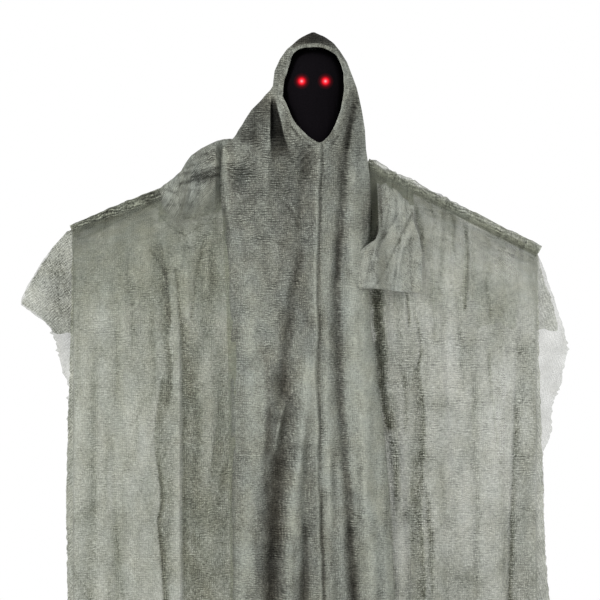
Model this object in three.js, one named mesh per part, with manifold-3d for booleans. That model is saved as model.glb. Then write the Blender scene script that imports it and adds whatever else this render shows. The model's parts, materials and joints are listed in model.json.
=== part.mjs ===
// A hanging ghost: a hooded gauze robe over two folding arms, with lit eyes behind a black face cloth.
// Millimetres, +Z up, the front faces -Y. The origin is the inner top of the eye that it hangs from.
import * as THREE from 'three';
import * as BufferGeometryUtils from 'three/addons/utils/BufferGeometryUtils.js';
import Module from 'manifold-3d';

const wasm = await Module();
wasm.setup();

// Clearances
const FIT = 0.3;
const COVER_EASE = 1.4;
const CUT_OVER = 1;

// Hanging eye through the crown
const EYE_BORE = 16;
const EYE_WIRE = 4;
const SHANK = 5;
const WASHER = 20;
const WASHER_THICK = 1.6;
const NUT_ACROSS = 9;
const NUT_THICK = 4;
const THREAD_PAST_NUT = 2;

// Head form
const HEAD_WIDTH = 156;
const HEAD_DEPTH = 172;
const HEAD_HEIGHT = 212;
const HEAD_WALL = 2.4;
const HEAD_SPLIT = 20;
const LIP_REACH = 14;
const LIP_WALL = 2;
const SMALL_SCREW = 3;
const SMALL_HEAD = 6;
const SMALL_HEAD_THICK = 1.8;

// Eyes
const LED = 10;
const LED_FLANGE = 11.6;
const LED_FLANGE_THICK = 1.5;
const SOCKET_WALL = 2.8;
const SOCKET_DEPTH = 8.5;
const RING_THICK = 3;
const EYE_LEFT_X = -26;
const EYE_RIGHT_X = 28.5;
const EYES_BELOW_CROWN = 79.3;
const LEAD = 2;

// Neck and shoulder yoke
const NECK = 29;
const NECK_WALL = 2.5;
const NECK_SOCKET_WALL = 3.7;
const NECK_SOCKET = 29;
const NECK_IN_YOKE = 18;
const NECK_SHOWN = 3;
const YOKE_DEPTH = 38;
const YOKE_HEIGHT = 62;
const YOKE_CORE = 60;
const YOKE_PLATE = 3;
const YOKE_ARM_HEIGHT = 32;
const PIN_SPREAD = 132;
const LEAD_HOLE = 8;
const STOP_WIDE = 14;
const STOP_THICK = 5;
const STOP_START = 15;
const BOSS_OVER = 4;
const BOSS_INSET = 2;
const SCREW_BELOW_NECK = 5;
const SCREW_ABOVE_FOOT = 7;

// Folding arms
const PIVOT = 8;
const PIVOT_HEAD = 13;
const PIVOT_HEAD_THICK = 5;
const PIVOT_NUT = 15;
const PIVOT_NUT_THICK = 6;
const LUG_EYE = 26;
const LUG_THICK = 14;
const LUG_NECK = 16;
const LUG_NECK_REACH = 26;
const SPIGOT_REACH = 110;
const TUBE = 16;
const TUBE_WALL = 1.5;
const TUBE_LENGTH = 452;
const TUBE_START_LEFT = 62;
const TUBE_START_RIGHT = 49;
const CAP = 21;
const CAP_THICK = 4;
const CAP_PLUG = 12;
const DROOP_LEFT = 20;
const DROOP_RIGHT = 27;

// Battery box
const CELL = 14.5;
const CELL_LENGTH = 50.5;
const CELL_PIP = 5.5;
const CELL_PIP_LENGTH = 1.2;
const CONTACT = 1;
const BOX_WALL = 1.8;
const BOX_EASE = 1.2;
const SWITCH_BAY = 14;
const RAIL = 1.5;
const RAIL_BELOW_RIM = 4;
const KNOB_STEM_IN = 2;
const KNOB_WIDE = 7;
const KNOB_HIGH = 5;
const KNOB_PROUD = 2.6;
const KNOB_STEM_WIDE = 5;
const KNOB_STEM_HIGH = 3;
const KNOB_TRAVEL = 4;
const SWITCH_WIDE = 13;
const SWITCH_DEEP = 6;
const BOARD_WIDE = 13;
const BOARD_THICK = 1.4;

// Cloth
const CLOTH = 1.6;
const OPENING_WIDTH = 142;
const OPENING_HEIGHT = 219.5;
const OPENING_TOP = -26.5;
const HEM_TOP_WIDE = 4.5;
const HEM_SIDE_WIDE = 9;
const HEM_THICK = 3.4;
const COVER_TOP_DROP = 8;
const COVER_WRAP = 78;
const BIB_WRAP = 44;
const BIB_DROP = 44;
const CHIN_TO_HOOD_EDGE = 2;
const WELL_HEIGHT = 16;
const FACE_HOLE_BACK = 16;
const ROBE_HEM = 1790;
const HEM_RAGGED = 14;
const HEM_RAG_PITCH = 46;
const GOWN_BLEND = 32;
const WING_START = 62;
const WING_TUCK = 32;
const WING_SWAY = 9;
const WING_FALL = 260;
const BUNDLE_CROWN = 0.7;
const BUNDLE_CRUMPLE = 4;
const BUNDLE_FLARE = 2;
const BUNDLE_DEEP = 0.55;
const BUNDLE_SKIRT = 20;
const FLAP_OVER = 5 / 14;
const FLAP_OVER_GOWN = 48;
const FLAP_GOWN_EDGE = 170;
const FLAP_GOWN_BLEND = 45;
const FLAP_CREASE = 5;
const FLAP_SWAY = 12;

// Finishes, as the photograph shows them
const GAUZE = { color: 0x8c9086, roughness: 0.95, metalness: 0 };
const BLACK_KNIT = { color: 0x0d0b0d, roughness: 1, metalness: 0 };
const RED_LENS = { color: 0xff1a1a, roughness: 0.2, metalness: 0 };
const BLACK_PLASTIC = { color: 0x1b1b1d, roughness: 0.55, metalness: 0 };
const GREY_PLASTIC = { color: 0x3a3a3d, roughness: 0.5, metalness: 0 };
const STEEL = { color: 0xb4b6b8, roughness: 0.35, metalness: 1 };
const LEAD_SLEEVE = { color: 0x7a1414, roughness: 0.5, metalness: 0 };
const BOARD_GREEN = { color: 0x1f5a34, roughness: 0.6, metalness: 0 };
const CELL_JACKET = { color: 0x5a5d66, roughness: 0.35, metalness: 0.4 };

const ghost = new THREE.Group();

// Makes a geometry's vertices shared, drops its flat triangles and turns its faces out
function sealed(geometry) {
  const bare = geometry.clone();
  Object.keys(bare.attributes)
    .filter((name) => name !== 'position')
    .forEach((name) => bare.deleteAttribute(name));
  const merged = BufferGeometryUtils.mergeVertices(bare, 1e-4);
  const at = merged.attributes.position;
  const corner = (i) => new THREE.Vector3().fromBufferAttribute(at, i);
  const kept = [];
  let volume = 0;
  for (let i = 0; i < merged.index.count; i += 3) {
    const [a, b, c] = [0, 1, 2].map((k) => merged.index.getX(i + k));
    if (a !== b && b !== c && c !== a) {
      kept.push(a, b, c);
      volume += corner(a).dot(corner(b).cross(corner(c)));
    }
  }
  merged.setIndex(volume > 0 ? kept : kept.reverse());
  return merged;
}

function solid(geometry) {
  const closed = sealed(geometry);
  return new wasm.Manifold(new wasm.Mesh({
    numProp: 3,
    vertProperties: new Float32Array(closed.attributes.position.array),
    triVerts: new Uint32Array(closed.index.array),
  }));
}

function surface(body) {
  const mesh = body.getMesh();
  const geometry = new THREE.BufferGeometry();
  const at = new Float32Array((mesh.vertProperties.length / mesh.numProp) * 3);
  for (let i = 0; i < at.length / 3; i += 1) {
    at.set(mesh.vertProperties.subarray(i * mesh.numProp, i * mesh.numProp + 3), i * 3);
  }
  geometry.setAttribute('position', new THREE.BufferAttribute(at, 3));
  geometry.setIndex(Array.from(mesh.triVerts));
  return geometry;
}

function piece(name, shape, finish, parent = ghost) {
  const geometry = shape.isBufferGeometry ? sealed(shape) : surface(shape);
  geometry.computeVertexNormals();
  const mesh = new THREE.Mesh(geometry, new THREE.MeshStandardMaterial(finish));
  mesh.name = name;
  parent.add(mesh);
  return mesh;
}

// A box between two corners
function block(low, high) {
  const size = high.map((value, i) => value - low[i]);
  const box = new THREE.BoxGeometry(...size);
  return solid(box.translate(...low.map((value, i) => value + size[i] / 2)));
}

// A round bar along an axis, between two places on it, at two places across it
function bar(axis, radius, low, high, across = [0, 0], sides = 16) {
  const cylinder = new THREE.CylinderGeometry(radius, radius, high - low, sides);
  cylinder.translate(0, (low + high) / 2, 0);
  if (axis === 'x') {
    cylinder.rotateZ(-Math.PI / 2).translate(0, ...across);
  } else if (axis === 'y') {
    cylinder.translate(across[0], 0, across[1]);
  } else {
    cylinder.rotateX(Math.PI / 2).translate(...across, 0);
  }
  return solid(cylinder);
}

function turned(profile, sides = 16) {
  return new THREE.LatheGeometry(profile.map(([r, y]) => new THREE.Vector2(r, y)), sides);
}

// The value at a place along a list of [place, value] pairs, straight between them
function along(pairs, place) {
  const rising = pairs[0][0] < pairs[pairs.length - 1][0];
  const list = rising ? pairs : [...pairs].reverse();
  if (place <= list[0][0]) return list[0][1];
  for (let i = 1; i < list.length; i += 1) {
    if (place <= list[i][0]) {
      const share = (place - list[i - 1][0]) / (list[i][0] - list[i - 1][0]);
      return THREE.MathUtils.lerp(list[i - 1][1], list[i][1], share);
    }
  }
  return list[list.length - 1][1];
}

// A closed sheet of cloth: place(u, v) is its middle surface, and it is thick across that surface
function sheet(place, columns, rows, thick = CLOTH) {
  const wide = columns + 1;
  const middle = [];
  for (let j = 0; j <= rows; j += 1) {
    for (let i = 0; i <= columns; i += 1) middle.push(place(i / columns, j / rows));
  }
  const at = (i, j) => middle[THREE.MathUtils.clamp(j, 0, rows) * wide + THREE.MathUtils.clamp(i, 0, columns)];
  const points = [];
  for (const side of [0.5, -0.5]) {
    for (let j = 0; j <= rows; j += 1) {
      for (let i = 0; i <= columns; i += 1) {
        const alongU = at(i + 1, j).clone().sub(at(i - 1, j));
        const alongV = at(i, j + 1).clone().sub(at(i, j - 1));
        const normal = alongU.cross(alongV).normalize();
        points.push(...at(i, j).clone().addScaledVector(normal, side * thick).toArray());
      }
    }
  }
  const back = wide * (rows + 1);
  const faces = [];
  const quad = (a, b, c, d) => faces.push(a, b, c, a, c, d);
  for (let j = 0; j < rows; j += 1) {
    for (let i = 0; i < columns; i += 1) {
      const a = j * wide + i;
      quad(a, a + 1, a + 1 + wide, a + wide);
      quad(back + a, back + a + wide, back + a + 1 + wide, back + a + 1);
    }
  }
  for (let i = 0; i < columns; i += 1) {
    const low = rows * wide + i;
    quad(i + 1, i, back + i, back + i + 1);
    quad(low, low + 1, back + low + 1, back + low);
  }
  for (let j = 0; j < rows; j += 1) {
    const left = j * wide;
    const right = left + columns;
    quad(left, left + wide, back + left + wide, back + left);
    quad(right + wide, right, back + right, back + right + wide);
  }
  const geometry = new THREE.BufferGeometry();
  geometry.setAttribute('position', new THREE.Float32BufferAttribute(points, 3));
  geometry.setIndex(faces);
  return geometry;
}

// A closed body through rings of points: closed along its length as a hoop, or capped at both ends
function rings(list, hoop) {
  const count = list[0].length;
  const points = list.flat().flatMap((p) => [p.x, p.y, p.z]);
  const faces = [];
  const last = hoop ? list.length : list.length - 1;
  for (let j = 0; j < last; j += 1) {
    const next = (j + 1) % list.length;
    for (let i = 0; i < count; i += 1) {
      const k = (i + 1) % count;
      const [a, b, c, d] = [j * count + i, j * count + k, next * count + k, next * count + i];
      faces.push(a, b, c, a, c, d);
    }
  }
  if (!hoop) {
    for (let i = 1; i < count - 1; i += 1) {
      const end = (list.length - 1) * count;
      faces.push(0, i + 1, i, end, end + i, end + i + 1);
    }
  }
  const geometry = new THREE.BufferGeometry();
  geometry.setAttribute('position', new THREE.Float32BufferAttribute(points, 3));
  geometry.setIndex(faces);
  return geometry;
}

function smooth(value, low, high) {
  return THREE.MathUtils.smoothstep(value, Math.min(low, high), Math.max(low, high));
}

// Heights, from the hanging eye down
const eyeFoot = -(EYE_BORE + EYE_WIRE);
const washerTop = eyeFoot - FIT;
const crownClothTop = washerTop - WASHER_THICK - FIT;
const crown = crownClothTop - CLOTH - FIT;
const nutTop = crown - HEAD_WALL - 3 * FIT;
const headMiddle = crown - HEAD_HEIGHT / 2;
const headBottom = crown - HEAD_HEIGHT;
const neckTop = headBottom + NECK_SOCKET - NECK_SHOWN;
const neckSocketFoot = headBottom - NECK_SHOWN / 2;
const yokeTop = headBottom - NECK_SHOWN - FIT;
const neckBottom = yokeTop - NECK_IN_YOKE;
const pinHeight = yokeTop - YOKE_HEIGHT / 2;
const pinReach = PIN_SPREAD / 2;
const openingBottom = OPENING_TOP - OPENING_HEIGHT;
const hoodBottom = openingBottom - HEM_SIDE_WIDE - CHIN_TO_HOOD_EDGE;

// Each arm: its side's direction, how far it hangs below level and where its tube starts
const arms = {
  left: { way: -1, droop: THREE.MathUtils.degToRad(DROOP_LEFT), start: TUBE_START_LEFT },
  right: { way: 1, droop: THREE.MathUtils.degToRad(DROOP_RIGHT), start: TUBE_START_RIGHT },
};

// Hanging eye, washer and nut
function hangingEye() {
  const ringRadius = (EYE_BORE + EYE_WIRE) / 2;
  const ring = new THREE.TorusGeometry(ringRadius, EYE_WIRE / 2, 8, 20);
  ring.rotateY(Math.PI / 2).translate(0, 0, -EYE_BORE / 2);
  const foot = nutTop - NUT_THICK - THREAD_PAST_NUT;
  const shank = bar('z', SHANK / 2, foot, eyeFoot + EYE_WIRE / 2, [0, 0], 16);
  return solid(ring).add(shank);
}
piece('hang_eye', hangingEye(), STEEL);

const shankHole = SHANK / 2 + FIT;
const washer = bar('z', WASHER / 2, washerTop - WASHER_THICK, washerTop, [0, 0], 24)
  .subtract(bar('z', shankHole, washerTop - WASHER_THICK - CUT_OVER, washerTop + CUT_OVER, [0, 0], 16));
piece('crown_washer', washer, STEEL);

const crownNut = bar('z', NUT_ACROSS / 2, nutTop - NUT_THICK, nutTop, [0, 0], 6)
  .subtract(bar('z', shankHole, nutTop - NUT_THICK - CUT_OVER, nutTop + CUT_OVER, [0, 0], 16));
piece('crown_nut', crownNut, STEEL);

// Head form: an egg in two shells, with sockets for the eyes and the neck
function egg(shrink) {
  const form = new THREE.SphereGeometry(1, 18, 12);
  form.rotateX(Math.PI / 2);
  form.scale(HEAD_WIDTH / 2 - shrink, HEAD_DEPTH / 2 - shrink, HEAD_HEIGHT / 2 - shrink);
  return solid(form.translate(0, 0, headMiddle));
}

function eggFront(x, z) {
  const across = (2 * x) / HEAD_WIDTH;
  const up = (z - headMiddle) / (HEAD_HEIGHT / 2);
  return (-HEAD_DEPTH / 2) * Math.sqrt(Math.max(0, 1 - across * across - up * up));
}

// The space between two planes across Y, wider than the head
function slab(low, high) {
  return block([-HEAD_WIDTH, low, headBottom - HEAD_HEIGHT], [HEAD_WIDTH, high, crown + HEAD_HEIGHT]);
}

const eyeHeight = crown - EYES_BELOW_CROWN;
const eyes = [['left', EYE_LEFT_X], ['right', EYE_RIGHT_X]].map(([side, x]) => {
  const face = eggFront(x, eyeHeight) + HEAD_WALL;
  return { side, x, face, rear: face + SOCKET_DEPTH };
});
const socketRadius = LED / 2 + SOCKET_WALL;
const neckSocketRadius = NECK / 2 + FIT + NECK_SOCKET_WALL;
const screwHole = SMALL_SCREW / 2 + FIT;
const neckScrewHeight = (neckTop + headBottom) / 2;
const headScrewDepth = HEAD_SPLIT - LIP_REACH / 2;

function headFront() {
  const outside = egg(0);
  let shell = outside.subtract(egg(HEAD_WALL)).intersect(slab(-HEAD_DEPTH, HEAD_SPLIT));
  eyes.forEach(({ x, rear }) => {
    const boss = bar('y', socketRadius, -HEAD_DEPTH, rear, [x, eyeHeight]);
    shell = shell.add(boss.intersect(outside));
  });
  shell = shell.add(bar('z', neckSocketRadius, neckSocketFoot, headBottom + NECK_SOCKET, [0, 0], 24));
  eyes.forEach(({ x }) => {
    shell = shell.subtract(bar('y', LED / 2 + FIT, -HEAD_DEPTH, 0, [x, eyeHeight]));
  });
  const neckBore = bar('z', NECK / 2 + FIT, neckSocketFoot - CUT_OVER, headBottom + NECK_SOCKET + CUT_OVER);
  const crownHole = bar('z', shankHole, crown - 2 * HEAD_WALL, crown + CUT_OVER, [0, 0], 16);
  const neckHole = bar('y', screwHole, 0, neckSocketRadius + CUT_OVER, [0, neckScrewHeight], 8);
  const sideHoles = bar('x', screwHole, -HEAD_WIDTH, HEAD_WIDTH, [headScrewDepth, headMiddle], 8);
  return shell.subtract(neckBore).subtract(crownHole).subtract(neckHole).subtract(sideHoles);
}
piece('head_shell_front', headFront(), GREY_PLASTIC);

function headRear() {
  const wall = egg(0).subtract(egg(HEAD_WALL)).intersect(slab(HEAD_SPLIT + FIT, HEAD_DEPTH));
  const lipSpace = slab(HEAD_SPLIT - LIP_REACH, HEAD_SPLIT + LIP_REACH / 2);
  const lip = egg(HEAD_WALL + FIT).subtract(egg(HEAD_WALL + FIT + LIP_WALL)).intersect(lipSpace);
  const rootSpace = slab(HEAD_SPLIT + FIT, HEAD_SPLIT + LIP_REACH / 2);
  const root = egg(HEAD_WALL / 2).subtract(egg(HEAD_WALL + FIT + LIP_WALL)).intersect(rootSpace);
  const sideHoles = bar('x', screwHole, -HEAD_WIDTH, HEAD_WIDTH, [headScrewDepth, headMiddle], 8);
  const neckRoom = bar('z', neckSocketRadius + FIT, neckSocketFoot - CUT_OVER, headMiddle, [0, 0], 24);
  return wall.add(root).add(lip).subtract(sideHoles).subtract(neckRoom);
}
piece('head_shell_rear', headRear(), GREY_PLASTIC);

[['left', -1], ['right', 1]].forEach(([side, way]) => {
  const face = (HEAD_WIDTH / 2) * Math.sqrt(1 - (headScrewDepth / (HEAD_DEPTH / 2)) ** 2) + FIT;
  const ends = (low, high) => (way > 0 ? [low, high] : [-high, -low]);
  const inside = face - FIT - HEAD_WALL - FIT - LIP_WALL - CUT_OVER;
  const across = [headScrewDepth, headMiddle];
  const head = bar('x', SMALL_HEAD / 2, ...ends(face, face + SMALL_HEAD_THICK), across, 10);
  const shank = bar('x', SMALL_SCREW / 2, ...ends(inside, face + CUT_OVER), across, 8);
  piece(`head_screw_${side}`, head.add(shank), STEEL);
});

// Lamps, their retaining rings and their leads down the neck
const boxFloor = YOKE_DEPTH / 2 + FIT;
const bayMiddle = yokeTop - SWITCH_BAY / 2;
eyes.forEach(({ side, x, face, rear }) => {
  const tip = face - HEAD_WALL + CUT_OVER;
  const flange = rear + FIT;
  const lamp = turned([
    [0, tip],
    [LED * 0.25, tip + LED * 0.08],
    [LED * 0.43, tip + LED * 0.25],
    [LED / 2, tip + LED / 2],
    [LED / 2, flange],
    [LED_FLANGE / 2, flange],
    [LED_FLANGE / 2, flange + LED_FLANGE_THICK],
    [0, flange + LED_FLANGE_THICK],
  ], 18);
  piece(`eye_led_${side}`, lamp, RED_LENS).position.set(x, 0, eyeHeight);

  const ringFront = flange + LED_FLANGE_THICK + FIT;
  const ring = bar('y', socketRadius, ringFront, ringFront + RING_THICK, [x, eyeHeight])
    .subtract(bar('y', LEAD, ringFront - CUT_OVER, ringFront + RING_THICK + CUT_OVER, [x, eyeHeight], 8));
  piece(`led_ring_${side}`, ring, BLACK_PLASTIC);

  const beside = Math.sign(x) * (LEAD * 0.8);
  const start = flange + LED_FLANGE_THICK + FIT;
  const route = new THREE.CatmullRomCurve3([
    new THREE.Vector3(x, start, eyeHeight),
    new THREE.Vector3(x, start + 12, eyeHeight - 0.5),
    new THREE.Vector3(x * 0.8, start + 26, eyeHeight - 22),
    new THREE.Vector3(x * 0.4, -16, (eyeHeight + neckTop) / 2),
    new THREE.Vector3(beside, -3, neckTop + 12),
    new THREE.Vector3(beside, -2, neckTop - 10),
    new THREE.Vector3(beside, 0, bayMiddle + 9),
    new THREE.Vector3(beside, 6, bayMiddle + 1.5),
    new THREE.Vector3(beside, 14, bayMiddle),
    new THREE.Vector3(beside, boxFloor + BOX_WALL + 1.5, bayMiddle),
  ]);
  const section = new THREE.Shape().absarc(0, 0, LEAD / 2, 0, 2 * Math.PI);
  const lead = new THREE.ExtrudeGeometry(section, { steps: 24, curveSegments: 3, extrudePath: route });
  piece(`led_lead_${side}`, lead, LEAD_SLEEVE);
});

// Neck tube and its screw
const neckTube = bar('z', NECK / 2, neckBottom, neckTop, [0, 0], 24)
  .subtract(bar('z', NECK / 2 - NECK_WALL, neckBottom - CUT_OVER, neckTop + CUT_OVER, [0, 0], 24))
  .subtract(bar('y', screwHole, 0, NECK, [0, neckScrewHeight], 8))
  .subtract(bar('y', LEAD_HOLE / 2, 0, NECK, [0, bayMiddle], 16));
piece('neck_tube', neckTube, BLACK_PLASTIC);

const neckScrewFace = neckSocketRadius + FIT;
const neckScrewEnd = NECK / 2 - NECK_WALL - CUT_OVER;
const neckScrewAt = [0, neckScrewHeight];
const neckScrewTop = neckScrewFace + SMALL_HEAD_THICK;
const neckScrewHead = bar('y', SMALL_HEAD / 2, neckScrewFace, neckScrewTop, neckScrewAt, 10);
const neckScrewShank = bar('y', SMALL_SCREW / 2, neckScrewEnd, neckScrewFace + CUT_OVER, neckScrewAt, 8);
piece('neck_screw', neckScrewHead.add(neckScrewShank), STEEL);

// Shoulder yoke in two halves, with a stop above each arm
const halfDepth = YOKE_DEPTH / 2;
const yokeBottom = yokeTop - YOKE_HEIGHT;
const boxScrewHeights = [neckBottom - SCREW_BELOW_NECK, yokeBottom + SCREW_ABOVE_FOOT];

// A box beside the right pin, turned to its side's droop, then mirrored to that side and half
function besidePin(low, high, side, face) {
  const size = high.map((value, i) => value - low[i]);
  const box = new THREE.BoxGeometry(...size).translate(...low.map((value, i) => value + size[i] / 2));
  box.rotateY(side < 0 ? arms.left.droop : arms.right.droop);
  box.translate(pinReach, 0, pinHeight);
  box.scale(side, face, 1);
  return solid(box);
}

function stopRib(side, face) {
  const over = LUG_NECK / 2 + FIT;
  const end = STOP_START + STOP_WIDE;
  const rib = besidePin([STOP_START, FIT / 2, over], [end, halfDepth, over + STOP_THICK], side, face);
  const tab = besidePin([0, halfDepth - YOKE_PLATE, 0], [end, halfDepth, over + STOP_THICK], side, face);
  return rib.add(tab);
}

function yokeHalf(face) {
  const near = FIT / 2;
  const spanY = (low, high) => (face > 0 ? [low, high] : [-high, -low]);
  const box = (x, z, depth) => {
    const [y0, y1] = spanY(...depth);
    return block([x[0], y0, z[0]], [x[1], y1, z[1]]);
  };
  let half = box([-YOKE_CORE / 2, YOKE_CORE / 2], [yokeBottom, yokeTop], [near, halfDepth]);
  const arm = [pinHeight - YOKE_ARM_HEIGHT / 2, pinHeight + YOKE_ARM_HEIGHT / 2];
  half = half.add(box([-pinReach, pinReach], arm, [halfDepth - YOKE_PLATE, halfDepth]));
  [-1, 1].forEach((side) => {
    const pin = [side * pinReach, pinHeight];
    half = half.add(bar('y', LUG_EYE / 2 + BOSS_OVER, ...spanY(halfDepth - YOKE_PLATE, halfDepth), pin, 28));
    half = half.add(bar('y', LUG_EYE / 2 - BOSS_INSET, ...spanY(LUG_THICK / 2 + FIT, halfDepth), pin, 24));
    half = half.add(stopRib(side, face));
    half = half.subtract(bar('y', PIVOT / 2 + FIT, -YOKE_DEPTH, YOKE_DEPTH, pin));
  });
  half = half.subtract(bar('z', NECK / 2 + FIT, neckBottom - FIT, yokeTop + CUT_OVER, [0, 0], 24));
  if (face > 0) {
    half = half.subtract(bar('y', LEAD_HOLE / 2, 0, YOKE_DEPTH, [0, bayMiddle], 16));
    boxScrewHeights.forEach((z) => {
      half = half.subtract(bar('y', screwHole, halfDepth / 2, YOKE_DEPTH, [0, z], 8));
    });
  }
  return half;
}
piece('yoke_front', yokeHalf(-1), BLACK_PLASTIC);
piece('yoke_rear', yokeHalf(1), BLACK_PLASTIC);

// Arms: each hangs on its pivot in a group of its own, along the group's X
function lug() {
  const eye = bar('y', LUG_EYE / 2, -LUG_THICK / 2, LUG_THICK / 2, [0, 0], 20);
  const neck = block([0, -LUG_THICK / 2, -LUG_NECK / 2], [LUG_NECK_REACH, LUG_THICK / 2, LUG_NECK / 2]);
  const spigot = bar('x', TUBE / 2 - TUBE_WALL - FIT, LUG_NECK_REACH - CUT_OVER, SPIGOT_REACH);
  return eye.add(neck).add(spigot).subtract(bar('y', PIVOT / 2 + FIT, -LUG_THICK, LUG_THICK));
}

function armTube(start) {
  const bore = bar('x', TUBE / 2 - TUBE_WALL, start - CUT_OVER, start + TUBE_LENGTH + CUT_OVER);
  return bar('x', TUBE / 2, start, start + TUBE_LENGTH).subtract(bore);
}

function armCap(start) {
  const face = start + TUBE_LENGTH + FIT;
  const plug = TUBE / 2 - TUBE_WALL - FIT;
  const cap = turned([
    [0, face - CAP_PLUG],
    [plug, face - CAP_PLUG],
    [plug, face],
    [CAP / 2, face],
    [CAP / 2, face + CAP_THICK * 0.55],
    [CAP / 2 - CAP_THICK * 0.5, face + CAP_THICK],
    [0, face + CAP_THICK],
  ]);
  return cap.rotateZ(-Math.PI / 2);
}

const capReach = (start) => start + TUBE_LENGTH + FIT + CAP_THICK;
Object.entries(arms).forEach(([side, { way, droop, start }]) => {
  const hinge = new THREE.Group();
  hinge.position.set(way * pinReach, 0, pinHeight);
  hinge.rotation.y = way > 0 ? droop : Math.PI - droop;
  ghost.add(hinge);
  piece(`arm_lug_${side}`, lug(), BLACK_PLASTIC, hinge);
  piece(`arm_tube_${side}`, armTube(start), BLACK_PLASTIC, hinge);
  piece(`arm_cap_${side}`, armCap(start), BLACK_PLASTIC, hinge);

  const pin = [way * pinReach, pinHeight];
  const front = -halfDepth - FIT;
  const thread = halfDepth + FIT + PIVOT_NUT_THICK + THREAD_PAST_NUT;
  const bolt = bar('y', PIVOT_HEAD / 2, front - PIVOT_HEAD_THICK, front, pin, 6)
    .add(bar('y', PIVOT / 2, front - CUT_OVER, thread, pin));
  piece(`pivot_bolt_${side}`, bolt, STEEL);
  const nutFace = halfDepth + FIT;
  const nut = bar('y', PIVOT_NUT / 2, nutFace, nutFace + PIVOT_NUT_THICK, pin, 6)
    .subtract(bar('y', PIVOT / 2 + FIT, nutFace - CUT_OVER, nutFace + PIVOT_NUT_THICK + CUT_OVER, pin));
  piece(`pivot_nut_${side}`, nut, STEEL);
});

// Battery box on the back of the yoke: a switch bay above, and a bay for two cells below
const boxInside = 2 * CELL + 3 * BOX_EASE / 2;
const boxHalf = boxInside / 2 + BOX_WALL;
const cellAxis = boxFloor + BOX_WALL + BOX_EASE / 2 + CELL / 2;
const boxRim = cellAxis + CELL / 2 + BOX_EASE / 2;
const bayFoot = yokeTop - SWITCH_BAY;
const upperContact = bayFoot - BOX_WALL - FIT;
const cellTop = upperContact - CONTACT - FIT;
const cellFoot = cellTop - CELL_PIP_LENGTH - CELL_LENGTH;
const lowerContact = cellFoot - FIT;
const boxFoot = lowerContact - CONTACT - FIT - BOX_WALL;
const railTop = boxRim - RAIL_BELOW_RIM;
const knobX = KNOB_WIDE;

function batteryBox() {
  let box = block([-boxHalf, boxFloor, boxFoot], [boxHalf, boxRim, yokeTop]);
  const wide = boxInside / 2;
  const inside = (low, high, rear) => block([-wide, boxFloor + BOX_WALL, low], [wide, rear, high]);
  box = box.subtract(inside(boxFoot + BOX_WALL, bayFoot - BOX_WALL, boxRim + CUT_OVER));
  box = box.subtract(inside(bayFoot, yokeTop - BOX_WALL, boxRim - BOX_WALL));
  [-1, 1].forEach((side) => {
    const rail = [side * boxHalf, side * (boxHalf + RAIL)].sort((a, b) => a - b);
    box = box.add(block([rail[0], railTop - RAIL, boxFoot], [rail[1], railTop, bayFoot - BOX_WALL]));
  });
  const slotHalf = (KNOB_STEM_WIDE + 2 * FIT) / 2;
  box = box.subtract(block(
    [knobX - slotHalf - KNOB_TRAVEL, boxRim - 2 * BOX_WALL, bayMiddle - KNOB_STEM_HIGH / 2 - FIT],
    [knobX + slotHalf, boxRim + CUT_OVER, bayMiddle + KNOB_STEM_HIGH / 2 + FIT],
  ));
  const leadHole = bar('y', LEAD_HOLE / 2, boxFloor - CUT_OVER, boxFloor + BOX_WALL + FIT, [0, bayMiddle], 16);
  box = box.subtract(leadHole);
  boxScrewHeights.forEach((z) => {
    box = box.subtract(bar('y', screwHole, boxFloor - CUT_OVER, boxFloor + BOX_WALL + CUT_OVER, [0, z], 8));
  });
  return box;
}
piece('battery_box', batteryBox(), BLACK_PLASTIC);

function batteryCover() {
  const rear = boxRim + FIT;
  const top = bayFoot - BOX_WALL;
  const skirt = boxHalf + RAIL + FIT;
  let cover = block([-skirt - BOX_WALL, rear, boxFoot], [skirt + BOX_WALL, rear + BOX_WALL, top]);
  [-1, 1].forEach((side) => {
    const across = (low, high) => [side * low, side * high].sort((a, b) => a - b);
    const wall = across(skirt, skirt + BOX_WALL);
    const hook = across(boxHalf + FIT, skirt + BOX_WALL);
    const hookRear = railTop - RAIL - FIT;
    cover = cover.add(block([wall[0], hookRear - BOX_WALL, boxFoot], [wall[1], rear + CUT_OVER, top]));
    cover = cover.add(block([hook[0], hookRear - BOX_WALL, boxFoot], [hook[1], hookRear, top]));
  });
  return cover;
}
piece('battery_cover', batteryCover(), BLACK_PLASTIC);

['upper', 'lower'].forEach((place, i) => {
  const face = boxFloor + BOX_WALL + FIT;
  const head = bar('y', SMALL_HEAD / 2, face, face + SMALL_HEAD_THICK / 2, [0, boxScrewHeights[i]], 10);
  const shank = bar('y', SMALL_SCREW / 2, halfDepth / 2 + CUT_OVER, face + SMALL_HEAD_THICK / 4,
    [0, boxScrewHeights[i]], 8);
  piece(`box_screw_${place}`, head.add(shank), STEEL);
});

[['left', -1], ['right', 1]].forEach(([side, way]) => {
  const x = (way * (CELL + BOX_EASE / 2)) / 2;
  const pipUp = way > 0;
  const can = pipUp ? [cellFoot, cellTop - CELL_PIP_LENGTH] : [cellFoot + CELL_PIP_LENGTH, cellTop];
  const pip = pipUp ? [can[1] - CUT_OVER, cellTop] : [cellFoot, can[0] + CUT_OVER];
  const jacket = bar('z', CELL / 2, ...can, [x, cellAxis]);
  const button = bar('z', CELL_PIP / 2, ...pip, [x, cellAxis], 10);
  piece(`battery_${side}`, jacket.add(button), CELL_JACKET);
});

[['upper', upperContact], ['lower', lowerContact]].forEach(([place, top]) => {
  const half = boxInside / 2 - FIT;
  const deep = boxFloor + BOX_WALL + FIT;
  piece(`contact_${place}`, block([-half, deep, top - CONTACT], [half, boxRim - FIT, top]), STEEL);
});

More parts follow.
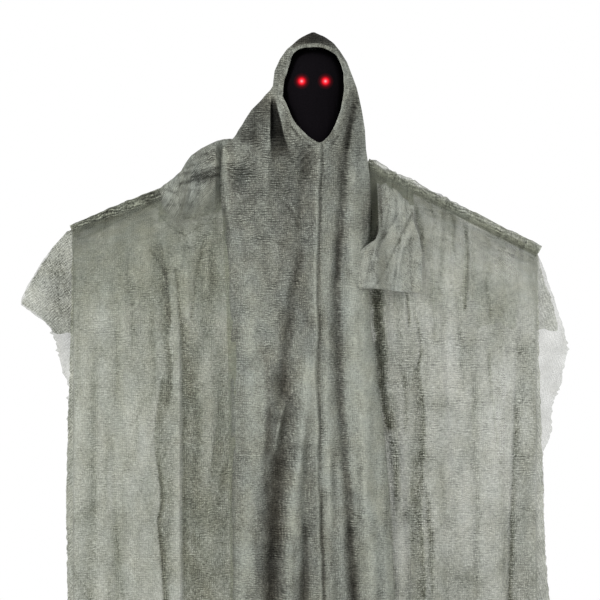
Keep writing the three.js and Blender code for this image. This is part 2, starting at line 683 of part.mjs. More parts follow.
// Switch, its knob and the lamp board, in the upper bay
const bayTop = yokeTop - BOX_WALL;
const knobFoot = boxRim - BOX_WALL - KNOB_STEM_IN;
piece('switch_knob', block(
  [knobX - KNOB_WIDE / 2, boxRim + FIT, bayMiddle - KNOB_HIGH / 2],
  [knobX + KNOB_WIDE / 2, boxRim + FIT + KNOB_PROUD, bayMiddle + KNOB_HIGH / 2],
).add(block(
  [knobX - KNOB_STEM_WIDE / 2, knobFoot, bayMiddle - KNOB_STEM_HIGH / 2],
  [knobX + KNOB_STEM_WIDE / 2, boxRim + FIT + CUT_OVER, bayMiddle + KNOB_STEM_HIGH / 2],
)), GREY_PLASTIC);
piece('switch_body', block(
  [knobX - KNOB_TRAVEL / 2 - SWITCH_WIDE / 2, knobFoot - FIT - SWITCH_DEEP, bayFoot + FIT],
  [knobX - KNOB_TRAVEL / 2 + SWITCH_WIDE / 2, knobFoot - FIT, bayTop - FIT],
), STEEL);
piece('circuit_board', block(
  [-boxInside / 2 + FIT, knobFoot - FIT - SWITCH_DEEP, bayFoot + FIT],
  [-boxInside / 2 + FIT + BOARD_WIDE, knobFoot - FIT - SWITCH_DEEP + BOARD_THICK, bayTop - FIT],
), BOARD_GREEN);

// Face cloth: it wraps the front of the head and hangs on below the chin as a bib
function faceCover(u, v) {
  const out = COVER_EASE + CLOTH / 2;
  const z = THREE.MathUtils.lerp(crown - COVER_TOP_DROP, headBottom - BIB_DROP, v);
  const wrap = THREE.MathUtils.lerp(BIB_WRAP, COVER_WRAP, smooth(z, headBottom, headMiddle));
  const around = (2 * u - 1) * THREE.MathUtils.degToRad(wrap);
  const up = Math.max(0, (z - headMiddle) / (HEAD_HEIGHT / 2 + out));
  const drawIn = Math.sqrt(1 - up * up);
  return new THREE.Vector3(
    (HEAD_WIDTH / 2 + out) * drawIn * Math.sin(around),
    -(HEAD_DEPTH / 2 + out) * drawIn * Math.cos(around),
    z,
  );
}
piece('face_cover', sheet(faceCover, 14, 12), BLACK_KNIT);

// Hood. Each ring is a height and its reach to each side, the lower ones wider on the left where
// the cloth is drawn out over the shoulder. Lens above 1 pinches a ring's two ends flat.
const halfHead = HEAD_WIDTH / 2;
const frontHead = HEAD_DEPTH / 2;
const hoodRings = [
  { z: crown + 34, left: halfHead - 76, right: halfHead - 74, front: frontHead - 65, back: -14.5, lens: 1 },
  { z: crown + 30, left: halfHead - 66, right: halfHead - 66, front: frontHead - 50, back: -14, lens: 1 },
  { z: crown + 24, left: halfHead - 53, right: halfHead - 48, front: frontHead - 38, back: -13.5, lens: 1 },
  { z: crown + 15, left: halfHead - 43, right: halfHead - 39, front: frontHead - 28, back: -13, lens: 0.95 },
  { z: crown + 11, left: halfHead - 39, right: halfHead - 35, front: frontHead - 25, back: 22, lens: 0.95 },
  { z: crown + 6, left: halfHead - 34, right: halfHead - 31, front: frontHead - 22, back: 42, lens: 0.9 },
  { z: crown - 8, left: halfHead - 20, right: halfHead - 20, front: frontHead - 14, back: 62, lens: 0.9 },
  { z: crown - 30, left: halfHead - 4, right: halfHead - 5, front: frontHead - 4, back: 79, lens: 0.9 },
  { z: crown - 58, left: halfHead + 9, right: halfHead + 8, front: frontHead + 5, back: 90, lens: 0.9 },
  { z: crown - 88, left: halfHead + 14, right: halfHead + 19, front: frontHead + 9, back: 96, lens: 0.9 },
  { z: crown - 116, left: halfHead + 35, right: halfHead + 28, front: frontHead + 11, back: 99, lens: 0.95 },
  { z: crown - 146, left: halfHead + 62, right: halfHead + 34, front: frontHead + 12, back: 100, lens: 1.1 },
  { z: crown - 174, left: halfHead + 84, right: halfHead + 38, front: frontHead + 13, back: 101, lens: 1.25 },
  { z: crown - 201, left: halfHead + 102, right: halfHead + 42, front: frontHead + 14, back: 102, lens: 1.35 },
  { z: hoodBottom, left: halfHead + 128, right: halfHead + 43, front: frontHead + 14, back: 102, lens: 1.45 },
];
const HOOD_POINTS = 24;

// A point of a ring at an angle from its right end towards the back, drawn in by the cloth's thickness
function ringPoint(ring, angle, drawIn = 0) {
  const middle = (ring.back - ring.front) / 2;
  const deep = (ring.back + ring.front) / 2 - drawIn;
  const wide = (Math.cos(angle) < 0 ? ring.left : ring.right) - drawIn;
  const pinch = Math.sign(Math.sin(angle)) * Math.abs(Math.sin(angle)) ** ring.lens;
  const centre = middle * Math.abs(Math.sin(angle));
  const level = ring.back < 0 ? middle : centre;
  return new THREE.Vector3(wide * Math.cos(angle), level + deep * pinch, ring.z);
}

function hoodForm(drawIn) {
  const list = hoodRings.map((ring, j) => {
    const last = j === hoodRings.length - 1;
    const lowered = { ...ring, z: ring.z - drawIn - (drawIn && last ? CUT_OVER : 0) };
    return Array.from({ length: HOOD_POINTS }, (_, i) => (
      ringPoint(lowered, (2 * Math.PI * (i + 0.5)) / HOOD_POINTS, drawIn)));
  });
  return solid(rings(list, false));
}

// How far forward the hood's outer face is at a place across and a height
function hoodFace(x, z) {
  const keys = ['left', 'right', 'front', 'back', 'lens'];
  const ring = Object.fromEntries(keys.map((key) => [key, along(hoodRings.map((r) => [r.z, r[key]]), z)]));
  const across = THREE.MathUtils.clamp(x / (x < 0 ? ring.left : ring.right), -1, 1);
  return ringPoint({ ...ring, z }, -Math.acos(across)).y;
}

// Face opening, as shares of its half width and its height from the top
const OPENING_SHAPE = [
  [-0.06, 0], [-0.35, 0.01], [-0.6, 0.065], [-0.73, 0.14], [-0.8, 0.23], [-0.94, 0.35], [-1, 0.47],
  [-0.87, 0.58], [-0.65, 0.73], [-0.34, 0.86], [-0.04, 0.95], [0.24, 1], [0.49, 0.92], [0.73, 0.78],
  [0.91, 0.63], [0.98, 0.5], [1, 0.36], [0.97, 0.235], [0.87, 0.14], [0.71, 0.07], [0.45, 0.025],
  [0.2, 0.003],
];
const OPENING_STEPS = 32;
const openingCurve = new THREE.CatmullRomCurve3(
  OPENING_SHAPE.map(([x, down]) => new THREE.Vector3(
    (x * OPENING_WIDTH) / 2,
    0,
    OPENING_TOP - down * OPENING_HEIGHT,
  )),
  true,
);

// The opening's outline, moved outwards by a share of the hem's width and a margin
function openingEdge(share, margin) {
  return Array.from({ length: OPENING_STEPS }, (_, i) => {
    const t = i / OPENING_STEPS;
    const point = openingCurve.getPointAt(t);
    const run = openingCurve.getTangentAt(t);
    const outward = new THREE.Vector3(run.z, 0, -run.x);
    const inside = new THREE.Vector3(0, 0, OPENING_TOP - OPENING_HEIGHT / 2).sub(point);
    if (outward.dot(inside) > 0) outward.negate();
    const hem = along([[0, HEM_TOP_WIDE], [0.2, HEM_SIDE_WIDE]], (OPENING_TOP - point.z) / OPENING_HEIGHT);
    return { point: point.addScaledVector(outward, hem * share + margin), outward, hem };
  });
}

function faceHole() {
  const outline = openingEdge(1, FIT).map(({ point }) => new THREE.Vector2(point.x, point.z));
  const cut = { depth: 2 * HEAD_DEPTH, bevelEnabled: false };
  const prism = new THREE.ExtrudeGeometry(new THREE.Shape(outline), cut);
  return solid(prism.rotateX(Math.PI / 2).translate(0, -FACE_HOLE_BACK, 0));
}

// The hood is gathered under the crown washer in a small well round the hanging eye
function crownWell() {
  const well = EYE_BORE / 2 + EYE_WIRE + 2 * FIT;
  const top = crown + WELL_HEIGHT;
  const wall = bar('z', well + CLOTH, crownClothTop - CLOTH, top, [0, 0], 24);
  const hollow = bar('z', well, crownClothTop, top + EYE_BORE, [0, 0], 24);
  const hole = bar('z', shankHole, crownClothTop - 2 * CLOTH, crownClothTop + CLOTH, [0, 0], 16);
  return { wall, hollow, hole };
}

function hood() {
  const outside = hoodForm(0);
  const well = crownWell();
  return outside.subtract(hoodForm(CLOTH))
    .add(well.wall.intersect(outside))
    .subtract(well.hollow)
    .subtract(well.hole)
    .subtract(faceHole());
}
piece('hood', hood(), GAUZE);

const HEM_SIDES = 6;
const hemRings = openingEdge(0.5, 0).map(({ point, outward, hem }) => {
  const edge = point.clone().addScaledVector(outward, hem / 2 + FIT);
  const y = hoodFace(edge.x, edge.z) + CLOTH / 2;
  return Array.from({ length: HEM_SIDES }, (_, i) => {
    const angle = (2 * Math.PI * i) / HEM_SIDES;
    return point.clone()
      .addScaledVector(outward, (hem / 2) * Math.cos(angle))
      .add(new THREE.Vector3(0, y + (HEM_THICK / 2) * Math.sin(angle), 0));
  });
});
piece('hood_hem', rings(hemRings, true), GAUZE);

// The gown's two side edges: how far left and right it reaches, down its height
const shoulder = hoodBottom - FIT;
const ringFoot = hoodRings[hoodRings.length - 1];
const hem = -ROBE_HEM;
const gownLeft = [
  [shoulder, ringFoot.left], [shoulder - 30, 208], [shoulder - 230, 206], [shoulder - 310, 196], [hem, 190],
];
const gownRight = [
  [shoulder, ringFoot.right], [shoulder - 56, 130], [shoulder - 130, 133], [shoulder - 425, 134],
  [shoulder - 583, 166], [shoulder - 682, 182], [shoulder - 1045, 195], [hem, 200],
];
const gownFront = [
  [shoulder, ringFoot.front], [shoulder - 60, ringFoot.front], [shoulder - 300, 96], [shoulder - 900, 88],
  [hem, 92],
];
const gownBack = [
  [shoulder, ringFoot.back], [shoulder - 60, ringFoot.back], [shoulder - 300, 92], [shoulder - 900, 80],
  [hem, 84],
];
// The side edges stand off the arms' plane by this much
const gownEdge = [
  [shoulder, 0.4], [shoulder - 12, 12], [shoulder - 30, 19], [shoulder - 70, 24], [shoulder - 150, 30],
];

// Long folds of the gown, each a path down the cloth, how deep it is and how wide
const frontFolds = [
  {
    path: [[-500, -28], [-676, -66], [-897, -94], [-1010, -84], [-1132, -98], [-1270, -94], [hem, -98]],
    deep: 26,
    wide: 20,
    from: -500,
  },
  { path: [[-980, -12], [-1156, -21], [-1300, -22], [hem, -26]], deep: 16, wide: 16, from: -980 },
  {
    path: [[-260, 68], [-335, 67], [-508, 57], [-582, 44], [-676, 56], [-912, 63], [-1150, 90], [hem, 104]],
    deep: 20,
    wide: 17,
    from: -262,
  },
  { path: [[-300, -132], [-700, -140], [hem, -150]], deep: 14, wide: 18, from: -420 },
  { path: [[-900, 140], [-1200, 148], [hem, 152]], deep: 14, wide: 18, from: -900 },
];
const backFolds = [
  { path: [[shoulder, -120], [hem, -140]], deep: 18, wide: 20, from: -320 },
  { path: [[shoulder, -30], [hem, -52]], deep: 22, wide: 18, from: -300 },
  { path: [[shoulder, 44], [hem, 40]], deep: 20, wide: 18, from: -340 },
  { path: [[shoulder, 96], [hem, 122]], deep: 16, wide: 18, from: -420 },
];
const FOLD_FADE = 160;

function foldDepth(folds, x, z) {
  return folds.reduce((sum, { path, deep, wide, from }) => {
    const off = (x - along(path, z)) / wide;
    const grown = THREE.MathUtils.clamp((from - z) / FOLD_FADE, 0, 1);
    return sum + deep * grown * Math.exp(-off * off);
  }, 0);
}

// The torn hem ends higher in places
function hemAt(x) {
  return hem + HEM_RAGGED * (0.5 + 0.5 * Math.sin((2 * Math.PI * x) / HEM_RAG_PITCH));
}

// One half of the gown, hung from the hood's lower edge: face is -1 in front and 1 behind
function gown(face) {
  const reach = face < 0 ? gownFront : gownBack;
  const folds = face < 0 ? frontFolds : backFolds;
  return (u, v) => {
    const foot = hemAt(THREE.MathUtils.lerp(-ringFoot.left, ringFoot.right, u));
    const z = THREE.MathUtils.lerp(shoulder, foot, v ** 1.35);
    const angle = Math.PI * (1 - u);
    const top = ringPoint({ ...ringFoot, z }, face < 0 ? -angle : angle);
    const left = along(gownLeft, z);
    const right = along(gownRight, z);
    const x = THREE.MathUtils.lerp(-left, right, u);
    const across = x < 0 ? x / left : x / right;
    const edge = along(gownEdge, z);
    const deep = edge + (along(reach, z) - edge) * (1 - Math.abs(across) ** 2.4) ** 0.8;
    const y = face * (deep - foldDepth(folds, x, z));
    const low = new THREE.Vector3(x, y, z);
    return top.lerp(low, smooth(shoulder - z, 0, GOWN_BLEND)).add(new THREE.Vector3(0, (face * CLOTH) / 2, 0));
  };
}
piece('gown_front', sheet(gown(-1), 22, 13), GAUZE);
piece('gown_back', sheet(gown(1), 16, 10), GAUZE);

// Wings: the cloth over each arm. The outer edge is a list of [drop below the tip, reach past the tip].
const wingEdges = {
  left: {
    front: [[0, 0], [67, 44], [174, 108], [217, 69], [266, 28], [290, 0], [464, 7], [597, 10], [864, 7],
      [1357, 12]],
    back: [[0, 0], [73, 56], [147, 102], [176, 116], [216, 70], [255, 40], [337, 17], [362, 2], [464, 7],
      [597, 10], [864, 7], [1357, 12]],
  },
  right: {
    front: [[0, 0], [70, 18], [118, 34], [172, 52], [200, 2], [263, 4], [398, 6], [674, 13], [810, 25],
      [1303, 30]],
    back: [[0, 0], [70, 18], [118, 34], [175, 52], [219, 64], [297, 55], [348, 34], [415, 27], [444, 10],
      [674, 13], [810, 25], [1303, 30]],
  },
};
const wingFolds = {
  left: {
    front: [
      { path: [[-508, -338], [-766, -333], [-987, -359], [hem, -345]], deep: -13, wide: 12, from: -440 },
      { path: [[-508, -262], [-700, -280], [-1000, -262], [hem, -258]], deep: -12, wide: 14, from: -500 },
      { path: [[-800, -490], [hem, -486]], deep: -10, wide: 14, from: -760 },
    ],
    back: [
      { path: [[-500, -300], [hem, -290]], deep: -16, wide: 16, from: -460 },
      { path: [[-500, -430], [hem, -440]], deep: -12, wide: 18, from: -600 },
    ],
  },
  right: {
    front: [
      { path: [[-480, 340], [-700, 330], [hem, 300]], deep: -13, wide: 13, from: -440 },
      { path: [[-500, 250], [-900, 236], [hem, 232]], deep: -10, wide: 12, from: -520 },
      { path: [[-700, 400], [-1100, 380], [hem, 392]], deep: -12, wide: 14, from: -640 },
    ],
    back: [
      { path: [[-500, 290], [hem, 300]], deep: -16, wide: 16, from: -460 },
      { path: [[-600, 420], [hem, 430]], deep: -12, wide: 18, from: -600 },
    ],
  },
};
const ridge = CAP / 2 + 2 * FIT + CLOTH / 2;
const RIDGE_ROWS = 3;

function wing(side, layer, rows) {
  const { way, droop, start } = arms[side];
  const face = layer === 'front' ? -1 : 1;
  const reach = capReach(start);
  const tipX = way * (pinReach + reach * Math.cos(droop));
  const tipZ = pinHeight - reach * Math.sin(droop);
  const outline = wingEdges[side][layer];
  const inner = side === 'left' ? gownLeft : gownRight;
  return (u, v) => {
    const s = THREE.MathUtils.lerp(reach, WING_START, u);
    const axisX = way * (pinReach + s * Math.cos(droop));
    const axisZ = pinHeight - s * Math.sin(droop);
    const row = v * rows;
    if (row <= RIDGE_ROWS) {
      const turn = Math.max(Math.PI / 2 * (row / RIDGE_ROWS), Math.asin(FIT / ridge));
      const lift = ridge * Math.cos(turn);
      return new THREE.Vector3(
        axisX + way * Math.sin(droop) * lift,
        face * ridge * Math.sin(turn),
        axisZ + Math.cos(droop) * lift,
      );
    }
    const down = ((row - RIDGE_ROWS) / (rows - RIDGE_ROWS)) ** 1.5;
    const z = THREE.MathUtils.lerp(axisZ, hemAt(axisX), down);
    const outer = tipX + way * along(outline, tipZ - z);
    const fallIn = smooth(axisZ - z, 0, WING_FALL);
    const startX = way * (pinReach + WING_START * Math.cos(droop));
    const tuck = THREE.MathUtils.lerp(startX, way * (along(inner, z) - WING_TUCK), fallIn);
    const x = THREE.MathUtils.lerp(outer, tuck, u);
    const sway = WING_SWAY * smooth(u, 0.2, 1) * fallIn;
    return new THREE.Vector3(x, face * (ridge + sway - foldDepth(wingFolds[side][layer], x, z)), z);
  };
}
['left', 'right'].forEach((side) => {
  piece(`wing_front_${side}`, sheet(wing(side, 'front', 14), 14, 14), GAUZE);
  piece(`wing_back_${side}`, sheet(wing(side, 'back', 14), 9, 14), GAUZE);
});

// What lies over a wing's ridge clears it by this radius from the arm's axis
const overRidge = ridge + CLOTH + 5 * FIT;

function armHeight(side, x) {
  return pinHeight - (Math.abs(x) - pinReach) * Math.tan(arms[side].droop);
}

// Cloth heaped on the left shoulder, a saddle over the arm whose top rises towards the hood
const bundleRise = [[213, 54], [235, 50], [265, 41], [292, 30], [316, 22], [334, 9], [352, 0]];
function shoulderBundle(u, v) {
  const x = THREE.MathUtils.lerp(bundleRise[bundleRise.length - 1][0], bundleRise[0][0], u);
  const rise = along(bundleRise, x);
  const around = THREE.MathUtils.lerp(-1, 1, v);
  const turn = (around * Math.PI) / 2;
  const skirt = Math.max(0, Math.abs(around) - BUNDLE_CROWN) / (1 - BUNDLE_CROWN);
  const crumple = BUNDLE_CRUMPLE * Math.sin(u * 15 + v * 5) * Math.cos(turn * 1.5) * Math.min(1, rise / 20);
  const lift = ((overRidge + rise + crumple) * Math.cos(turn)) / Math.cos(arms.left.droop);
  return new THREE.Vector3(
    -x,
    (overRidge + rise * BUNDLE_DEEP) * Math.sin(turn) + Math.sign(around) * BUNDLE_FLARE * skirt,
    armHeight('left', x) + lift - skirt * (BUNDLE_SKIRT + rise),
  );
}
piece('shoulder_bundle_left', sheet(shoulderBundle, 10, 10), GAUZE);

// Folded flap on the right shoulder: it starts behind the arm, lies over it and hangs in front
const flapLeft = [[-340, 150], [-453, 151], [-469, 145], [-492, 110], [-522, 106], [-582, 104]];
const flapRight = [[-340, 202], [-359, 230], [-428, 231], [-460, 244], [-501, 251], [-589, 251]];
function shoulderFlap(u, v) {
  if (v < FLAP_OVER) {
    const x = THREE.MathUtils.lerp(flapLeft[0][1], flapRight[1][1], u);
    const turn = THREE.MathUtils.lerp(-Math.PI * 0.45, Math.PI / 2, v / FLAP_OVER);
    const lift = (overRidge * Math.cos(turn)) / Math.cos(arms.right.droop);
    return new THREE.Vector3(x, -overRidge * Math.sin(turn), armHeight('right', x) + lift);
  }
  const hang = (v - FLAP_OVER) / (1 - FLAP_OVER);
  const ridgeX = THREE.MathUtils.lerp(flapLeft[0][1], flapRight[1][1], u);
  const foot = THREE.MathUtils.lerp(flapLeft[flapLeft.length - 1][0], flapRight[flapRight.length - 1][0], u);
  const z = THREE.MathUtils.lerp(armHeight('right', ridgeX), foot, hang);
  const x = THREE.MathUtils.lerp(along(flapLeft, z), along(flapRight, z), u);
  const overGown = FLAP_OVER_GOWN * smooth(FLAP_GOWN_EDGE - x, 0, FLAP_GOWN_BLEND) * Math.sqrt(hang);
  const crease = FLAP_CREASE * Math.abs(Math.sin(u * 9 + v * 2)) * smooth(hang, 0.05, 0.4);
  return new THREE.Vector3(x, -overRidge - FLAP_SWAY * hang - overGown - crease, z);
}
piece('shoulder_flap_right', sheet(shoulderFlap, 10, 14), GAUZE);

export default ghost;
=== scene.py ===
# %% [markdown]
# This lesson dresses a hanging ghost: a hooded robe of crinkled gauze over two folding arms, with a
# black cloth face and two lit eyes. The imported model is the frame. Each piece of cloth is a fine sheet
# of its own, hung where the frame's plain solid is.

# %% Load the frame
import json
import math

import bpy
import numpy as np
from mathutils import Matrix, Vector


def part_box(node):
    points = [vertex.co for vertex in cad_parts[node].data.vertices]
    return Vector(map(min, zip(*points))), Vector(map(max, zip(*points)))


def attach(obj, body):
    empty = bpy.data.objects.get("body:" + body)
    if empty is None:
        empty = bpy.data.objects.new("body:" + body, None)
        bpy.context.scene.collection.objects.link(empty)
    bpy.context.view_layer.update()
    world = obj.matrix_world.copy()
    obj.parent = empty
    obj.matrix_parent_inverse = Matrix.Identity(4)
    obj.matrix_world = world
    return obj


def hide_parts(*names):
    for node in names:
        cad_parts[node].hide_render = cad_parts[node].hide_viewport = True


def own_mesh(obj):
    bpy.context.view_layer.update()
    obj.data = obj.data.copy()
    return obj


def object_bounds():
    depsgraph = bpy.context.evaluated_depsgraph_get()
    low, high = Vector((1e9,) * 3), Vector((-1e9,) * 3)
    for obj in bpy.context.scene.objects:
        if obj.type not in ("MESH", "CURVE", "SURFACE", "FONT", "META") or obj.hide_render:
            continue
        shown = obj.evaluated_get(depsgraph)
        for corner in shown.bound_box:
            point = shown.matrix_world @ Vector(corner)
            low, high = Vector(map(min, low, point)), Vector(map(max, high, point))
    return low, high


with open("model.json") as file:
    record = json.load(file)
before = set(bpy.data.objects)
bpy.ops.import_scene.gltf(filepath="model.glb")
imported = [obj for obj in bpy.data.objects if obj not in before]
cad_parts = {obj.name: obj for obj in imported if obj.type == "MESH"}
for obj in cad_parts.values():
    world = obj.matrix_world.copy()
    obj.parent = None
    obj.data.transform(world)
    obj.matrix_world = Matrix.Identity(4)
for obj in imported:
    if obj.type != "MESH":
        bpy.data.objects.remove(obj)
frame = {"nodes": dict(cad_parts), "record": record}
cad_box = [list(corner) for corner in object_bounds()]
print("frame box", [[round(value, 3) for value in corner] for corner in cad_box])

# %% [markdown]
# The photograph looks straight at the ghost's front from far away. A long lens keeps it as flat as that.
# Where a fold or an edge is placed from the photograph, its pixels are turned to metres here, once.

# %% Photograph frame and camera
METRES_PER_PIXEL = 0.0023
PHOTO_SIZE = 600
EYE_COLUMN = 313
EYE_ROW = 36
CAMERA_DISTANCE = 28.0
SENSOR_MM = 36


def photo_x(column):
    """Metres across, from a column of the photograph."""
    return (np.asarray(column, float) - EYE_COLUMN) * METRES_PER_PIXEL


def photo_z(row):
    """Metres up, from a row of the photograph."""
    return (EYE_ROW - np.asarray(row, float)) * METRES_PER_PIXEL


camera_data = bpy.data.cameras.new("camera")
camera_data.sensor_width = SENSOR_MM
camera_data.lens = SENSOR_MM * CAMERA_DISTANCE / (PHOTO_SIZE * METRES_PER_PIXEL)
camera = bpy.data.objects.new("camera", camera_data)
camera.location = (photo_x(PHOTO_SIZE / 2), -CAMERA_DISTANCE, photo_z(PHOTO_SIZE / 2))
camera.rotation_euler = (math.radians(90), 0, 0)
bpy.context.scene.collection.objects.link(camera)
bpy.context.scene.camera = camera
print("lens", round(camera_data.lens, 1), "mm")

# %% [markdown]
# Light, sky and every finish are node trees. These helpers add a node and fill its sockets, and make a
# node group, which is how an effect is built once and used in several materials.

# %% Node helpers


def fill(tree, node, inputs):
    """Sets a node's inputs to values, or links them from other sockets."""
    for key, value in inputs.items():
        if isinstance(value, bpy.types.NodeSocket):
            tree.links.new(value, node.inputs[key])
        else:
            node.inputs[key].default_value = value


def add(tree, kind, inputs=None, **settings):
    """A new node, with its settings and its inputs set or linked."""
    made = tree.nodes.new(kind)
    for key, value in settings.items():
        setattr(made, key, value)
    fill(tree, made, inputs or {})
    return made


def calc(tree, operation, first, second=0.0, third=None, clamp=False):
    """The result of one sum."""
    inputs = {0: first, 1: second}
    if third is not None:
        inputs[2] = third
    return add(tree, "ShaderNodeMath", inputs, operation=operation, use_clamp=clamp).outputs[0]


def vector(tree, operation, first, inputs):
    """The node of one sum with vectors."""
    return add(tree, "ShaderNodeVectorMath", {0: first, **inputs}, operation=operation)


def ranged(tree, value, low, high, new_low, new_high):
    """A value moved from one range to another, and held inside it."""
    return add(tree, "ShaderNodeMapRange", {
        "Value": value, "From Min": low, "From Max": high, "To Min": new_low, "To Max": new_high,
    }).outputs[0]


def mixed(tree, share, first, second):
    """A colour between two."""
    made = add(tree, "ShaderNodeMix", {"Factor": share}, data_type="RGBA")
    for slot, value in ((6, first), (7, second)):
        fill(tree, made, {slot: value if isinstance(value, bpy.types.NodeSocket) else (*value, 1)})
    return made.outputs[2]


def new_group(name, inputs, outputs):
    """An empty node group with its named inputs and outputs."""
    tree = bpy.data.node_groups.new(name, "ShaderNodeTree")
    for label, kind, value in inputs:
        socket = tree.interface.new_socket(label, in_out="INPUT", socket_type=kind)
        if value is not None:
            socket.default_value = value
    for label, kind in outputs:
        tree.interface.new_socket(label, in_out="OUTPUT", socket_type=kind)
    return tree, add(tree, "NodeGroupInput"), add(tree, "NodeGroupOutput")


def new_material(name):
    """A material with a Principled shader, its tree and that shader."""
    material = bpy.data.materials.new(name)
    material.use_nodes = True
    return material, material.node_tree, material.node_tree.nodes["Principled BSDF"]


# %% [markdown]
# The studio is white all round, because thin gauze shows what is behind it. The camera sees the world
# at full white, while the light that falls on the cloth is dimmer and comes mostly from two soft boxes,
# so that folds keep their shadows.

# %% Studio
AMBIENT = 0.5
FLOOR_DROP = 0.07
FLOOR_RADIUS = 2.4
FLOOR_CORNERS = 96

scene = bpy.context.scene
scene.view_settings.view_transform = "Standard"
scene.view_settings.look = "None"

world = bpy.data.worlds.new("white studio")
scene.world = world
world.use_nodes = True
sky = world.node_tree
sky.nodes.clear()
seen, lit = (
    add(sky, "ShaderNodeBackground", {"Color": (1, 1, 1, 1), "Strength": strength}).outputs[0]
    for strength in (1.0, AMBIENT))
for_camera = add(sky, "ShaderNodeLightPath").outputs["Is Camera Ray"]
shown = add(sky, "ShaderNodeMixShader", {0: for_camera, 1: lit, 2: seen}).outputs[0]
add(sky, "ShaderNodeOutputWorld", {0: shown})


def soft_box(name, place, aim, size, power):
    """A square area light at a place, turned to what it lights."""
    data = bpy.data.lights.new(name, "AREA")
    data.size = size
    data.energy = power
    light = bpy.data.objects.new(name, data)
    light.location = place
    light.rotation_euler = (Vector(aim) - Vector(place)).to_track_quat("-Z", "Y").to_euler()
    scene.collection.objects.link(light)


soft_box("key light", (-1.9, -2.2, 1.4), (0, 0, -0.6), 1.3, 62)
soft_box("fill light", (2.6, -2.6, 0.0), (0, 0, -0.8), 2.4, 16)
soft_box("back light", (0.8, 3.0, 0.8), (0, 0, -0.8), 2.4, 30)

floor_mesh = bpy.data.meshes.new("floor")
floor_z = cad_box[0][2] - FLOOR_DROP
floor_turns = [2 * math.pi * i / FLOOR_CORNERS for i in range(FLOOR_CORNERS)]
floor_mesh.from_pydata(
    [(FLOOR_RADIUS * math.cos(turn), FLOOR_RADIUS * math.sin(turn), floor_z) for turn in floor_turns],
    [], [list(range(FLOOR_CORNERS))])
floor = bpy.data.objects.new("floor", floor_mesh)
scene.collection.objects.link(floor)
print("floor at", round(floor_z, 3))

# %% [markdown]
# Gauze is an open weave that was crinkled wet. Close up it has ribs across the cloth every few
# millimetres, broken up by a crêpe of short dashes, and a wider mottling where it dried unevenly. The
# group below makes all of that from the cloth's own coordinates, so that the ribs follow each sheet.
# Three values are stored at each point of a sheet. Gather says how bunched the cloth is, and it also
# carries the painted shade and painted light of folds, creases and shaded areas, in powers of two of its
# darkness. Rib says how sharply its ribs stand out, and Fade thins it out where it runs in under
# another piece.

# %% Gauze weave group
BAND_PERIOD = 2 * math.pi / 20  # how far a Wave texture of scale 1 goes before it repeats
FLOAT = "NodeSocketFloat"
VECTOR = "NodeSocketVector"
COLOUR = "NodeSocketColor"

# The weave's noises: scale across and down the cloth, detail, roughness and distortion
WEAVE_NOISE = {
    "dashes": (125, 320, 2.0, 0.6, 0.0),
    "upright": (350, 100, 2.0, 0.55, 0.0),
    "grain": (440, 420, 1.0, 0.5, 0.0),
    "crumple": (42, 27, 5.0, 0.62, 0.8),
    "mottle": (15, 5, 3.0, 0.55, 0.0),
    "patches": (34, 48, 1.0, 0.5, 0.0),
    "strands": (52, 30, 1.0, 0.5, 0.0),
    "lines": (48, 120, 2.0, 0.5, 1.2),
    "tint": (22, 12, 2.0, 0.5, 0.0),
}
# How much of each plain noise goes into the weave
WEAVE_SHARES = {"dashes": 2.2, "upright": 1.7, "grain": 2.0, "crumple": 1.0}
COOL_TINT = (0.98, 0.999, 1.035)
WARM_TINT = (1.016, 1.001, 0.972)


def scaled_noise(tree, cloth, across, down, detail, roughness, distortion):
    """Noise stretched over the cloth, centred on zero."""
    at = add(tree, "ShaderNodeMapping", {"Vector": cloth, "Scale": (across, down, 1)}).outputs[0]
    value = add(tree, "ShaderNodeTexNoise", {
        "Vector": at, "Scale": 1.0, "Detail": detail, "Roughness": roughness, "Distortion": distortion,
    }).outputs["Fac"]
    return calc(tree, "SUBTRACT", value, 0.5)


def bands(tree, cloth, direction, pitch, distortion, detail, detail_scale, roughness):
    """Wandering bands over the cloth, centred on zero."""
    value = add(tree, "ShaderNodeTexWave", {
        "Vector": cloth, "Scale": BAND_PERIOD / pitch, "Distortion": distortion, "Detail": detail,
        "Detail Scale": detail_scale, "Detail Roughness": roughness,
    }, bands_direction=direction).outputs["Fac"]
    return calc(tree, "SUBTRACT", value, 0.5)


